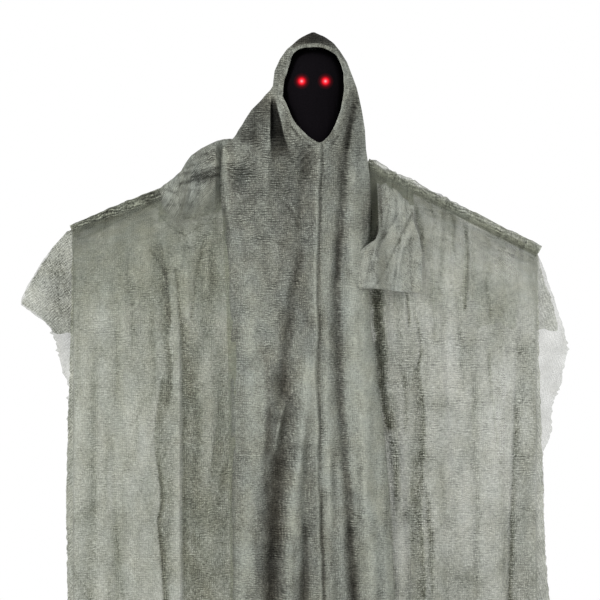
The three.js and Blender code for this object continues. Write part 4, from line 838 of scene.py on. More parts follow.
# The pocket's two sides, and its painted shadow by row, as gather
POCKET_LEFT = [(271.6, 94), (270.4, 110), (270.6, 135), (272.5, 165)]
POCKET_RIGHT = [
    (273.6, 94), (274.8, 100), (277.4, 112), (280.4, 122), (284, 135), (288, 146), (291, 157), (293, 165),
]
POCKET_SHADOW = [
    (96, 0.0), (101, 1.2), (106, 3.0), (112, 3.9), (135, 3.9), (140, 2.5), (148, 1.5), (156, 0.6), (163, 0.0),
]
POCKET_DEEP = 0.004  # metres in for each power of two of its painted shadow
POCKET_SOFT = 0.0014


def pocket(x, z):
    """The painted shadow inside the pocket, as gather."""
    inside = ease(x - photo_edge(POCKET_LEFT, 0.003)(z), -POCKET_SOFT, POCKET_SOFT)
    inside = inside * ease(photo_edge(POCKET_RIGHT, 0.003)(z) - x, -POCKET_SOFT, POCKET_SOFT)
    return inside * along([(float(photo_z(row)), dark) for row, dark in POCKET_SHADOW], z)


# Where the ribs of the cloth stand out in dark dashes
rib_patches = [
    (241, 174, 13, 13, 0.9), (285, 170, 22, 22, 0.7), (262, 125, 14, 20, 0.3), (330, 160, 14, 24, 0.3),
    (290, 215, 20, 22, 0.3), (350, 230, 10, 60, 0.2), (275, 300, 20, 30, 0.2), (262, 235, 20, 20, 0.3),
    (269, 145, 4, 22, 0.4), (243, 215, 14, 10, 0.4),
]
back_folds = [
    (18, 8, 8, 0.7, [(264, 120), (262, 300), (258, FOOT)]),
    (22, 9, 6, 0.9, [(301, 80), (298, 300), (290, FOOT)]),
    (20, 6, 9, 0.9, [(330, 90), (332, 300), (331, FOOT)]),
    (16, 8, 8, 0.7, [(352, 160), (358, 350), (366, FOOT)]),
    (-9, 8, 8, -0.3, [(282, 60), (280, 300), (275, FOOT)]),
    (-9, 8, 8, -0.3, [(316, 50), (315, 300), (312, FOOT)]),
    (-8, 7, 7, -0.3, [(343, 120), (346, 350), (350, FOOT)]),
]


def crumpled(x, z, seed, fine=1.0):
    """Small unevenness that all the robe's cloth has, in metres."""
    long_runs = noise(x / 0.021, z / 0.085, seed) - 0.5
    short_runs = noise(x / 0.0085, z / 0.021, seed + 1) - 0.5
    sharp = creases(x / 0.034 + noise(x / 0.06, z / 0.05, seed + 3), z / 0.075, seed + 2) - 0.33
    return fine * (0.0042 * long_runs + 0.0016 * short_runs + 0.0032 * sharp)


def hem_height(x, seed):
    """Where the torn hem ends: long soft waves, short tears and a few deep ones."""
    waves = 0.012 * noise(x / 0.07, 0.3, seed)
    tears = 0.016 * noise(x / 0.011, 0.7, seed + 1) ** 2
    deep = 0.05 * np.clip(noise(x / 0.028, 1.4, seed + 2) - 0.62, 0, 1)
    return HEM_Z + waves + tears + deep


# %% [markdown]
# The hood has a front with the face opening cut out and a back that goes round the head. The opening is
# measured as a distance from its middle in each direction, and the cut is made halfway under the folded
# band that edges it, where it can't be seen.

# %% Face opening
OPENING_MIDDLE = (float(photo_x(313)), float(photo_z(92)))
opening_outline = [
    (311, 48), (302, 48.5), (295, 52.5), (292, 56), (290, 65), (287, 74), (284.5, 81), (283.5, 91), (283, 97),
    (285.5, 102), (289, 109.5), (293, 119.5), (301, 129), (310, 138), (320.3, 144), (328, 137), (334, 127),
    (338.2, 116.5), (341.6, 104), (343, 95), (343.4, 82), (342.4, 70), (339.5, 62), (335.7, 55), (329, 51),
    (321, 48),
]
outline_x = photo_x([column for column, _ in opening_outline]) - OPENING_MIDDLE[0]
outline_z = photo_z([row for _, row in opening_outline]) - OPENING_MIDDLE[1]
outline_turn = np.arctan2(outline_z, outline_x)
outline_reach = np.hypot(outline_x, outline_z)
order = np.argsort(outline_turn)
outline_turn, outline_reach = outline_turn[order], outline_reach[order]
CORNER_STEPS = (-0.06, -0.03, 0, 0.03, 0.06)  # the turns over which a corner is eased


def opening_reach(turn):
    """The opening's radius in a direction, with its corners eased."""
    turns = [(turn + step + math.pi) % (2 * math.pi) - math.pi for step in CORNER_STEPS]
    reaches = [np.interp(at, outline_turn, outline_reach, period=2 * math.pi) for at in turns]
    return sum(reaches) / len(CORNER_STEPS)


def band_width(turn):
    """How wide the opening's folded band is in a direction: narrow over the brow."""
    return 0.0092 + 0.003 * ease(1 - np.sin(turn), 0.05, 0.5)


# %% [markdown]
# The hood and the gown are cut as grids that fill their outlines. The columns stand closer at the sides,
# where the cloth turns away. Below the left shoulder the gown's edge thins out over the cloth of the arm.

# %% Hood and gown
MERGE = 0.016
CROWDING = 0.38  # how much of the columns' places is drawn to the two sides
CUT_UNDER = 0.45  # how far under the opening's band the hood is cut, as a share of the band


def robe_grid(top, bottom, rows, columns, reach, folds, face, seed, torn=False):
    """Points, cloth coordinates and stored values of one face of the robe, -1 in front and 1 behind."""
    k = np.linspace(0, 1, columns)
    u = (1 - CROWDING) * k + CROWDING * (0.5 - 0.5 * np.cos(np.pi * k))
    v = np.linspace(0, 1, rows)[:, None]
    z = np.broadcast_to(top + (bottom - top) * v, (rows, columns))
    if torn:
        x_low = left_edge(bottom) + (right_edge(bottom) - left_edge(bottom)) * u
        z = top + (hem_height(x_low, seed)[None, :] - top) * v
    u = np.broadcast_to(u, z.shape)
    left, right = left_edge(z), right_edge(z)
    x = left + (right - left) * u
    depth, gather_and_shade = relief(folds, front_strokes if face < 0 else [], x, z)
    if face < 0:
        # The front's shaded areas paint shade and light, and the pocket paints its shadow
        inside = pocket(x, z)
        depth = depth + POCKET_DEEP * inside
        gather_and_shade = gather_and_shade + soft_shades(front_shades, x, z) + inside
    side = 1 - np.abs(2 * u - 1)
    room = ease(side, 0.0, 0.1)
    stand = robe_face(x, z, reach)
    ripple = crumpled(x, z, seed)
    low_down = ease(-z, 0.35, 0.9)
    y = face * (stand - (depth - ripple * (1 + 0.7 * low_down)) * room)
    points = stacked(x + 0.004 * (noise(x / 0.05, z / 0.06, seed + 5) - 0.5) * room, y, z)
    cloth = stacked(x + depth * 0.6, -z + 0.12 * depth)
    # Fine creases darken the gather with painted shade, over a base tone
    gather_and_shade = gather_and_shade + 0.45 * (creases(x / 0.03, z / 0.1, seed + 8) - 0.33) + 0.31
    rib = 0.12 + 0.5 * noise(x / 0.05, z / 0.07, seed + 9) ** 2
    if face < 0:
        rib = np.clip(rib + soft_shades(rib_patches, x, z), 0, 1)
    fade = 1 - (1 - ease(x - left, 0.0, MERGE)) * ease(-z, 0.375, 0.43) * (face < 0)
    return points, cloth, (gather_and_shade, rib, fade)


def make_hood():
    """The hood: front and back halves joined at the sides."""
    top, foot = float(photo_z(PEAK_ROW - 0.5)), GOWN_TOP - 0.001
    front, cloth, (gather_and_shade, rib, fade) = robe_grid(top, foot, 130, 170, forward, front_folds, -1, 11)
    x, z = front[..., 0], front[..., 2]
    turn = np.arctan2(z - OPENING_MIDDLE[1], x - OPENING_MIDDLE[0])
    away = np.hypot(z - OPENING_MIDDLE[1], x - OPENING_MIDDLE[0])
    keep = away > opening_reach(turn) + CUT_UNDER * band_width(turn)
    # Painted shade on the hood's top behind the brow, in a ring beside the band and left of the opening's rim
    brow = ease(z, -0.035, -0.005)
    beside = np.exp(-((away - opening_reach(turn) - band_width(turn) - 0.003) / 0.006) ** 2)
    rim = ease(photo_x(290) - x, 0, 0.01) * ease(z, -0.11, -0.05)
    gather_and_shade = gather_and_shade + 3.1 * brow + 0.3 * beside * (z > -0.22) + 0.5 * rim
    front_half = sheet_object("hood_front", front, cloth, (gather_and_shade, rib + 0.2, fade), hood_gauze, keep)
    back_half = sheet_object(
        "hood_back", *robe_grid(top, foot, 90, 100, backward, back_folds, 1, 31), hood_gauze)
    return front_half, back_half


hood_front, hood_back = make_hood()
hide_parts("hood")
gown_front = sheet_object("gown_front_cloth", *robe_grid(
    GOWN_TOP, HEM_Z, 360, 180, forward, front_folds, -1, 11, torn=True), robe_gauze)
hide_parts("gown_front")
gown_back = sheet_object("gown_back_cloth", *robe_grid(
    GOWN_TOP, HEM_Z, 250, 110, backward, back_folds, 1, 31, torn=True), robe_gauze)
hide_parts("gown_back")
robe_pieces = (hood_front, hood_back, gown_front, gown_back)
print("hood and gown", [round(mesh_area(piece), 3) for piece in robe_pieces])

# %% [markdown]
# The band round the face is the gauze folded over and stitched. It is a flat tube that follows the
# opening. It hides the hood's cut edge, and its outer side goes in under the hood's cloth.

# %% Hood band
BAND_STEPS = 300
BAND_SIDES = 14
BAND_THICK = 0.003
BAND_PROUD = 0.0026
STITCHES = 30


def make_band():
    """The folded band along the face opening."""
    turn = np.linspace(-math.pi, math.pi, BAND_STEPS, endpoint=False)[:, None]
    section = np.linspace(0, 2 * math.pi, BAND_SIDES, endpoint=False)[None, :]
    inner = opening_reach(turn) + 0.0009 * (noise(turn * 9, 0.2, 51) - 0.5)
    wide = band_width(turn) * (1 + 0.16 * (noise(turn * 4, 0.4, 52) - 0.5))
    outward = 0.5 - 0.5 * np.cos(section)
    reach = inner + wide * outward
    x = OPENING_MIDDLE[0] + reach * np.cos(turn)
    z = OPENING_MIDDLE[1] + reach * np.sin(turn)
    pucker = 0.0014 * (noise(turn * 26 + section * 0.8, section * 1.3, 53) - 0.5)
    thick = BAND_THICK / 2 * np.sign(np.sin(section)) * np.abs(np.sin(section)) ** 0.7
    depth, _ = fold_relief(front_folds, x, z)
    y = -(robe_face(x, z, forward) - depth) - BAND_PROUD * (1 - 1.4 * outward) + thick + pucker
    index = np.arange(BAND_STEPS * BAND_SIDES).reshape(BAND_STEPS, BAND_SIDES)
    after, beside = np.roll(index, -1, axis=0), np.roll(index, -1, axis=1)
    faces = stacked(index, after, np.roll(after, -1, axis=1), beside).reshape(-1, 4)
    cloth = stacked(reach, turn * 0.09).reshape(-1, 2)
    stitched = np.abs((turn * STITCHES / 2 / math.pi) % 1 - 0.5) < 0.16
    stitches = 0.35 * stitched * np.exp(-((outward - 0.72) / 0.13) ** 2)
    gather_and_shade = 0.6 + 0.9 * (noise(turn * 8, section, 54) - 0.5) + stitches
    # Painted light on the band's right side, which turns away from the key light
    gather_and_shade = gather_and_shade - 0.55 * ease(np.cos(turn), 0.2, 0.8)
    values = [np.broadcast_to(value, reach.shape).reshape(-1) for value in (gather_and_shade, 0.3, 1.0)]
    obj = cloth_object("hood_band", stacked(x, y, z).reshape(-1, 3), faces, cloth, values, hem_gauze)
    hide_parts("hood_hem")
    return obj


hood_band = make_band()

# %% [markdown]
# The face cloth wraps the front of the head and hangs below the chin behind the gown. It only needs to
# be smooth and black, with the knit's slight pull.

# %% Face cloth
HEAD_FRONT = 0.086
HEAD_HALF_WIDTH = 0.078
HEAD_HALF_HEIGHT = 0.106
HEAD_MIDDLE = -0.1301
COVER_EASE = 0.0022


def make_face_cloth():
    """The black knit over the head form."""
    rows, columns = 90, 90
    z = np.linspace(HEAD_MIDDLE + HEAD_HALF_HEIGHT - 0.008, -0.28, rows)[:, None]
    wrap = np.radians(44 + 34 * ease(z, HEAD_MIDDLE - HEAD_HALF_HEIGHT, HEAD_MIDDLE))
    around = np.linspace(-1, 1, columns)[None, :] * wrap
    up = np.clip((z - HEAD_MIDDLE) / (HEAD_HALF_HEIGHT + COVER_EASE), 0, 1)
    draw_in = np.sqrt(1 - up * up)
    pull = 0.0009 * (noise(around * 14, z / 0.03, 61) - 0.5)
    x = (HEAD_HALF_WIDTH + COVER_EASE + pull) * draw_in * np.sin(around)
    y = -(HEAD_FRONT + COVER_EASE + pull) * draw_in * np.cos(around)
    obj = sheet_object("face_cloth", stacked(x, y, z), stacked(around * 0.08, -z), (0.0, 0.0, 1.0), knit)
    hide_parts("face_cover")
    return obj


face_cloth = make_face_cloth()
print("face cloth", round(mesh_area(face_cloth), 3))

# %% [markdown]
# Over each arm hang three open layers: a long one in front, a long one behind, and between them a short
# cape that only reaches to the elbow. Their tops bend over the arm tube and their inner edges go in
# behind the gown. The front layer ends straight at the arm's tip, while the cape and the back layer stand
# past it in a pointed ear. The arms fold inside them, so the folds only ever stand outwards.

# %% Arms' cloth outline
ARM_PIN_X = 0.066
ARM_PIN_Z = -0.2704
TUBE_COVER = 0.0121
TUCK = 0.03
CAPE_HEM = float(photo_z(335))

arms = {
    "left": {
        "way": -1, "droop": math.radians(20), "reach": 0.5183,
        "inner": left_edge, "ear": (0.79, 0.61),
    },
    "right": {
        "way": 1, "droop": math.radians(27), "reach": 0.5053,
        "inner": right_edge, "ear": (-0.34, 0.94),
    },
}


def arm_line(side, s):
    """The arm's axis at a distance along it from its pin."""
    way, droop = arms[side]["way"], arms[side]["droop"]
    return way * (ARM_PIN_X + s * math.cos(droop)), ARM_PIN_Z - s * math.sin(droop)


def arm_height(side, x):
    """The height of the arm's axis at a place across."""
    return ARM_PIN_Z - (np.abs(x) - ARM_PIN_X) * math.tan(arms[side]["droop"])


# Outer edges, as how far below the arm's tip and how far past it, in millimetres
outer_edges = {
    ("left", "front"): [(0, 0), (60, 1), (290, 5), (464, 11), (597, 14), (864, 11), (1357, 14)],
    ("left", "cape"): [(0, 11), (33, 40), (67, 63), (107, 88), (140, 107), (168, 117), (187, 88), (206, 66),
                       (229, 44), (260, 28), (400, 10)],
    ("left", "back"): [(0, 11), (35, 43), (73, 71), (112, 96), (147, 115), (169, 120), (187, 96), (205, 71),
                       (225, 54), (250, 42), (275, 35), (309, 28), (337, 20), (362, 8), (464, 11), (597, 14),
                       (864, 11), (1357, 14)],
    ("right", "front"): [(0, 0), (60, 1), (263, 4), (398, 9), (674, 17), (810, 28), (1303, 32)],
    ("right", "cape"): [(0, 0), (25, 5), (70, 18), (118, 35), (160, 46), (178, 47), (215, 42), (300, 10)],
    ("right", "back"): [(0, 0), (25, 12), (70, 27), (118, 44), (175, 62), (219, 72), (240, 67), (263, 61),
                        (297, 58), (322, 47), (348, 37), (380, 33), (415, 32), (444, 16), (470, 13),
                        (674, 17),
                        (810, 28), (1303, 32)],
}

# %% [markdown]
# The folds of the arms' cloth are long and soft, and the crispest is the edge left of the gown, where the
# cloth turns under itself from top to bottom. Their gather paints shade in the valleys and light on the
# ridges, and the shades paint wider areas of shade and light. Near the ridge of each arm the gauze is
# drawn together in fine dark streaks.

# %% Arms' cloth folds
wing_folds = {
    ("left", "front"): [
        (3, 8, 1.3, 0.75, [(160, 244), (164.5, 262), (167, 280), (167.5, 292), (169.5, 305), (170, 318),
                           (168, 334)]),
        (2, 5, 1.3, 0.5, [(166, 335), (169, 350), (171, 368), (171, 385), (168, 402)]),
        (2, 1.2, 8, 0.4, [(161.5, 378), (160, 395), (156, 420), (154.5, 440), (157.5, 466)]),
        (3, 1.1, 3.2, 0.75, [(157.5, 462), (161, 490), (161, 505), (157.5, 520), (160.5, 545), (162.5, 570),
                             (164, 600), (164, FOOT)]),
        (-7, 7, 1.3, -0.22, [(179, 335), (179.5, 400), (179.5, 470), (180, 540), (180.5, 600), (181, FOOT)]),
        (6, 1.1, 18, 0.48, [(182.6, 320), (182.8, 460), (183, 600), (183.5, FOOT)]),
        (3, 3, 9, 0.2, [(194, 390), (194, 460), (196, 600), (197, FOOT)]),
        (3, 2, 6, 0.18, [(222, 380), (217, 430), (212, 470), (206, 512)]),
        (3, 2, 4, 0.25, [(225, 465), (219, 500), (211, 532)]),
        (3, 8, 14, 0.15, [(224, 330), (224, 450), (226, 600), (228, FOOT)]),
        (3, 16, 1.2, 0.1, [(96, 370), (97, 420), (95, 480), (95, 560), (96, 600), (96, FOOT)]),
        (3, 6, 5, 0.1, [(91, 500), (90, 560), (90, FOOT)]),
        (2, 1.5, 2, 0.18, [(116, 322), (117, 360), (116, 402)]),
        (3, 4, 1.6, 0.25, [(113, 436), (115, 500), (117, 560), (118, 600), (118, FOOT)]),
        (2, 1.3, 2, 0.25, [(116.5, 540), (120, 570), (123, 600)]),
        (-5, 16, 16, -0.12, [(139, 400), (139, 450), (139, FOOT)]),
        (4, 1.1, 1.6, 0.45, [(175, 268), (177.5, 288), (179, 310), (181, 336)]),
        (3, 1.2, 1.8, 0.3, [(204, 240), (201, 257), (196, 280), (191, 318)]),
        (4, 3, 3, 0.25, [(212, 250), (213, 270), (211, 300)]),
        (-5, 4, 4, -0.2, [(186, 262), (187, 290), (188, 330)]),
        (3, 2, 3, 0.2, [(128, 250), (131, 300), (133, 350)]),
        (3, 2, 3, 0.3, [(66, 262), (68, 300), (72, 330)]),
    ],
    ("left", "back"): [
        (-8, 8, 8, 0.25, [(120, 300), (118, FOOT)]),
        (-8, 7, 7, 0.3, [(180, 280), (182, FOOT)]),
        (5, 6, 6, 0.2, [(150, 320), (150, FOOT)]),
        (5, 6, 6, 0.2, [(92, 380), (92, FOOT)]),
    ],
    ("right", "front"): [
        (8, 5, 4.5, 1.8, [(374, 172), (374, 200), (373, 225), (372, 242)]),
        (4, 3.5, 6.5, 1.15, [(374, 284), (375.5, 300), (376.8, 330), (378.8, 360), (383, 400), (386, 428)]),
        (2, 4, 5, 0.15, [(385, 395), (389, 430), (392, 470)]),
        (4, 3, 3, 0.4, [(424, 480), (430, 530), (432, 590), (432, FOOT)]),
        (2, 5, 4, 0.15, [(388, 425), (391, 460), (392, 500), (393, 560), (396, FOOT)]),
        (4, 1.3, 1.8, 0.65, [(405.5, 288), (407.5, 308), (409, 326)]),
        (4, 1.3, 1.8, 0.5, [(412, 308), (417, 325), (420, 342), (420, 356), (417, 368)]),
        (3, 1.2, 1.6, 0.4, [(392, 336), (400, 334), (406, 338)]),
        (4, 9, 1.6, 0.5, [(417, 366), (421, 390), (423.5, 415), (423, 445), (421, 480), (420, 520),
                          (423, 560), (424, FOOT)]),
        (3, 2.4, 3, 0.35, [(403, 372), (406, 400), (405, 430)]),
        (-6, 2.6, 3, 0.95, [(415, 205), (418, 216), (421, 235), (424, 254)]),
        (-5, 1.6, 2.2, 0.6, [(446, 203), (449, 212), (455, 224), (452, 240), (454, 254)]),
        (-6, 3.4, 1.5, 0.95, [(463, 209), (467, 225), (468, 250), (467, 280), (465, 312)]),
        (3, 1.4, 2, 0.5, [(439, 206), (443, 216), (441, 226)]),
        (4, 2, 2, 0.25, [(436, 215), (433, 232), (430, 254)]),
        (4, 1.6, 2.4, 0.55, [(484.5, 278), (487, 296), (490, 318)]),
        (3, 2, 2, 0.3, [(430, 250), (433, 300), (434, 340)]),
        (3, 2, 3, 0.25, [(458, 300), (461, 345), (463, 390)]),
        (-5, 8, 8, -0.1, [(440, 330), (440, 430), (442, FOOT)]),
        (4, 3, 4, 0.25, [(475, 370), (473, 420), (475, 480), (478, FOOT)]),
        (3, 1.4, 1.6, 0.4, [(488, 350), (490, 390), (494, 420), (497, 445)]),
        (-5, 10, 3, -0.3, [(504, 345), (503, 420), (501, 560), (502, FOOT)]),
        (4, 1.2, 15, 0.2, [(517, 338), (515.5, 380), (512.5, 430), (511, 500), (509, 560), (508, FOOT)]),
        (3, 1.6, 3, 0.4, [(515, 410), (513, 470), (511, 520), (508.5, 590), (508, FOOT)]),
        (-6, 6, 6, -0.1, [(398, 430), (398, 520), (402, FOOT)]),
    ],
    ("right", "back"): [
        (-8, 7, 7, 0.3, [(440, 290), (444, FOOT)]),
        (-7, 7, 7, 0.25, [(500, 300), (504, FOOT)]),
        (5, 6, 6, 0.2, [(470, 320), (472, FOOT)]),
        (5, 6, 6, 0.2, [(412, 320), (414, FOOT)]),
    ],
    ("left", "cape"): [(3, 5, 5, 0.25, [(62, 255), (66, 320)]), (-3, 6, 6, -0.1, [(110, 240), (112, 335)])],
    ("right", "cape"): [
        (3, 4, 4, 0.25, [(500, 240), (505, 330)]), (-3, 6, 6, -0.1, [(450, 240), (452, 335)]),
    ],
}
# Painted shade on the arms' cloth, and painted light where the gather is negative
wing_shades = {
    ("left", "front"): [
        (118, 265, 60, 34, 0.15), (200, 270, 34, 50, 0.12), (196, 310, 26, 50, 0.12),
        (216, 460, 14, 300, 0.2), (169, 490, 7, 110, 0.35), (135, 410, 14, 40, 0.2), (84, 236, 14, 8, -0.3),
        (110, 430, 26, 160, -0.1), (143, 350, 18, 36, 0.25), (90, 560, 14, 40, -0.15),
        (222, 480, 14, 50, 0.2), (210, 585, 24, 50, 0.2), (70, 290, 5, 40, 0.2), (84, 575, 11, 45, 0.05),
        (162, 435, 6, 30, 0.2),
    ],
    ("right", "front"): [
        (405, 480, 24, 140, 0.1), (425, 590, 60, 40, 0.1), (449, 204, 4, 3, 1.0), (470, 260, 60, 50, -0.4),
        (480, 600, 40, 40, 0.1), (418, 275, 14, 40, -0.3), (465, 410, 24, 60, -0.25),
        (522, 275, 20, 50, -0.2), (510, 375, 6, 46, -0.2), (397, 470, 4, 40, 0.4), (534, 272, 4, 30, -0.25),
        (530, 575, 12, 46, 0.25), (485, 585, 9, 24, -0.3), (498, 312, 20, 18, 0.05),
        (498, 410, 14, 60, -0.6), (500, 262, 14, 40, -0.25), (472, 222, 24, 10, -0.4),
        (386, 405, 5, 30, -0.6), (440, 300, 26, 50, -0.25), (430, 208, 10, 8, 0.2),
    ],
    ("left", "back"): [(150, 270, 90, 70, 0.1)],
    ("left", "cape"): [(60, 292, 9, 30, 0.35), (34, 305, 16, 24, -0.3)],
}
wing_strokes = {
    ("left", "front"): [
        (2, 1.3, 0.5, [(84, 238), (120, 220), (158, 199)]),
        (2, 1.2, 0.45, [(100, 226), (140, 207), (170, 194)]),
        (1.5, 1.2, 0.35, [(160, 215), (172, 228), (186, 236)]),
        (1.5, 1.3, 0.4, [(190, 232), (204, 224), (216, 222)]),
        (1.5, 1.2, 0.3, [(150, 250), (160, 262), (166, 276)]),
        (-1.5, 1.6, -0.3, [(150, 214), (168, 210), (186, 212)]),
    ],
    ("right", "front"): [
        (2, 1.1, 0.6, [(437, 198), (444, 206), (452, 212)]),
        (2, 1.1, 0.5, [(452, 204), (460, 212), (470, 218)]),
        (2, 1.1, 0.5, [(472, 216), (482, 224), (494, 229)]),
        (1.5, 1.1, 0.4, [(492, 226), (502, 232), (513, 237)]),
        (2, 1.1, 0.5, [(425, 196), (431, 206), (434, 218)]),
        (1.5, 1.1, 0.4, [(458, 214), (463, 224), (466, 236)]),
        (1.5, 1.1, 0.35, [(480, 226), (486, 236), (489, 248)]),
        (1.5, 1.1, 0.35, [(505, 234), (513, 242), (524, 246)]),
    ],
}
# Where the ribs show in the cloth over the arms
wing_ribs = [
    (195, 225, 40, 34, 0.5), (120, 300, 50, 40, 0.25), (450, 240, 60, 40, 0.3), (455, 400, 80, 150, 0.35),
    (120, 460, 50, 120, 0.15),
]

# %% [markdown]
# Every layer is one grid. Its first rows bend over the arm, and the others hang from there between an
# outer edge of their own and the gown. First come the lines that it hangs on.

# %% Arms' cloth lines
RIDGE_SHARE = 0.045  # the share of the rows that bend over the arm
RIDGE_START = 0.06  # where along the arm the cloth begins


def ridge_height(side, s, seed):
    """How far the cloth stands off the arm's axis along its ridge."""
    sag = 0.0035 * (creases(s / 0.05, 0.5, seed + 20) - 0.4)
    sag = sag + 0.003 * (noise(s / 0.013, 0.2, seed + 21) - 0.5)
    share = (s - RIDGE_START) / (arms[side]["reach"] - RIDGE_START)
    if side == "left":
        sag = sag + 0.0095 * np.sin(np.clip(share * 1.15 - 0.15, 0, 1) * math.pi) ** 0.8
    else:
        sag = (sag + 0.001) * (1 + 1.6 * (1 - ease(share, 0.3, 0.7))) + 0.0055 * ease(share, 0.45, 0.65)
    return TUBE_COVER + np.maximum(sag, -0.001)


def outer_edge(side, layer, below, seed):
    """How far a layer stands past the arm's tip at a depth below it, with its frayed edge."""
    edge = along([(-drop / 1000, past / 1000) for drop, past in outer_edges[side, layer]], -below)
    z = arm_line(side, arms[side]["reach"])[1] - below
    torn = ease(below, 0.16, 0.2) * (1 - ease(below, 0.4, 0.5)) * (layer != "front")
    frayed = 0.004 * (noise(z / 0.012, 0.3, seed + 6) - 0.5) + 0.003 * (noise(z / 0.004, 0.6, seed + 7) - 0.5)
    frayed = frayed + 0.011 * (noise(z / 0.0045, 1.6, seed + 10) ** 2 - 0.3) * torn
    return edge + frayed * ease(below, 0.02, 0.06)


# %% [markdown]
# The look of a layer depends on how far it hangs below the ridge. Close to it the cloth is dark, ribbed
# and streaked, its darkness partly the cloth drawn together and partly painted shade, and on the right
# painted light lies just below the ridge. The ear past the arm's tip is pale, because nothing is behind it.

# %% Arms' cloth look
EAR_OVERLAP = 0.003  # how far inside the arm's tip the ear's weave starts


def wing_values(side, layer, x, z, s, run, gather_and_shade, seed):
    """The stored values of a layer, from the gather of its folds."""
    way = arms[side]["way"]
    tip_x = arm_line(side, arms[side]["reach"])[0]
    hanging = np.maximum(run, 0)
    # Painted shade of the shaded areas, and painted light where they are negative
    shades = soft_shades(wing_shades.get((side, layer), []), x, z)
    gather_and_shade = gather_and_shade * ease(arm_line(side, s)[1] - z, -0.006, 0.03) + shades
    # Along the ridge the cloth is drawn together and darkened with painted shade; on the right, under adds
    # painted light below it
    if side == "left":
        ridge_dark, ridge_wide, under = 1.25 - 0.35 * ease(s, 0.15, 0.5), 0.015, 0
    else:
        ridge_dark, ridge_wide = 0.28 - 0.05 * ease(s, 0.15, 0.5), 0.03
        under = -0.22 * np.exp(-hanging / 0.06)
    near = np.exp(-((run + 0.006) / ridge_wide) ** 2)
    streaks = creases(s / 0.05, (run + 0.13 * s) / 0.0042, seed + 9)
    gather_and_shade = gather_and_shade + near * ridge_dark * (0.75 + 0.6 * streaks) + under
    # Fine creases darken the gather with painted shade, most near the ridge
    crossed = creases(x / 0.02 + z / 0.02, z / 0.05, seed + 12) - 0.33
    gather_and_shade = gather_and_shade + 0.45 * np.exp(-hanging / 0.03) * crossed
    gather_and_shade = gather_and_shade + 0.3 * (creases(x / 0.035, z / 0.13, seed + 8) - 0.33)

    past = ease(way * (x - tip_x), -0.002, 0.004)
    ear_dark = 0.1 + 0.2 * (side == "left") * (layer == "cape") - 0.2 * (side == "right") + shades
    gather_and_shade = gather_and_shade * (1 - past) + past * (ear_dark + 0.3 * (noise(x / 0.02, z / 0.03, seed + 13) - 0.5))
    rib = 0.1 + 0.85 * np.exp(-hanging / 0.04) + 0.35 * noise(x / 0.06, z / 0.05, seed + 14) ** 2
    rib = np.clip(rib + soft_shades(wing_ribs, x, z), 0, 1)
    rib = np.where(way * (x - tip_x) > -EAR_OVERLAP, 0.35, rib)
    fade = np.ones_like(x)
    if layer == "cape":
        inside = ease(way * (tip_x - x), 0.0, 0.01)
        seen = 0.6 * ease(x, photo_x(474), photo_x(480)) * (1 - ease(x, photo_x(514), photo_x(518)))
        fade = 1 - ease(-z, -photo_z(285), -photo_z(334)) * inside * (1 - seen)
    return gather_and_shade, rib, fade


# %% [markdown]
# The grid's points follow from those lines. The folds only push the cloth outwards, because the arm folds
# down inside it.

# %% Arms' cloth
# Each layer's rows and columns, where round the arm it starts, how far it hangs off the arm, the least
# of that, how far it lies under the others along the ridge, and the shares of its folds and crumpling
layers = {
    "front": {
        "rows": 330, "columns": 210, "start": -0.35, "stand": 0.0105, "least": 0.003, "under": 0,
        "folds": 1, "crumpling": 0.85,
    },
    "cape": {
        "rows": 120, "columns": 90, "start": -0.35, "stand": 0.0015, "least": -0.0003, "under": 0.0004,
        "folds": 0.2, "crumpling": 0.12,
    },
    "back": {
        "rows": 260, "columns": 90, "start": 0.25, "stand": 0.0105, "least": -0.0003, "under": 0,
        "folds": 1, "crumpling": 0.85,
    },
}
ROWS_DRAWN_UP = 1.12  # the power that sets the upper rows closer together
TIP_PROUD = 0.002  # how far the ridge stands past the arm's tip
TEARS_APART = 0.3  # how far along the noise its hem is from the gown's
REACHES_GOWN = 0.2  # the drop over which the inner edge comes to the gown
HANGS_FREE = 0.12  # the drop over which it comes off the arm
SWAY = 0.009  # how much further its inner side stands out


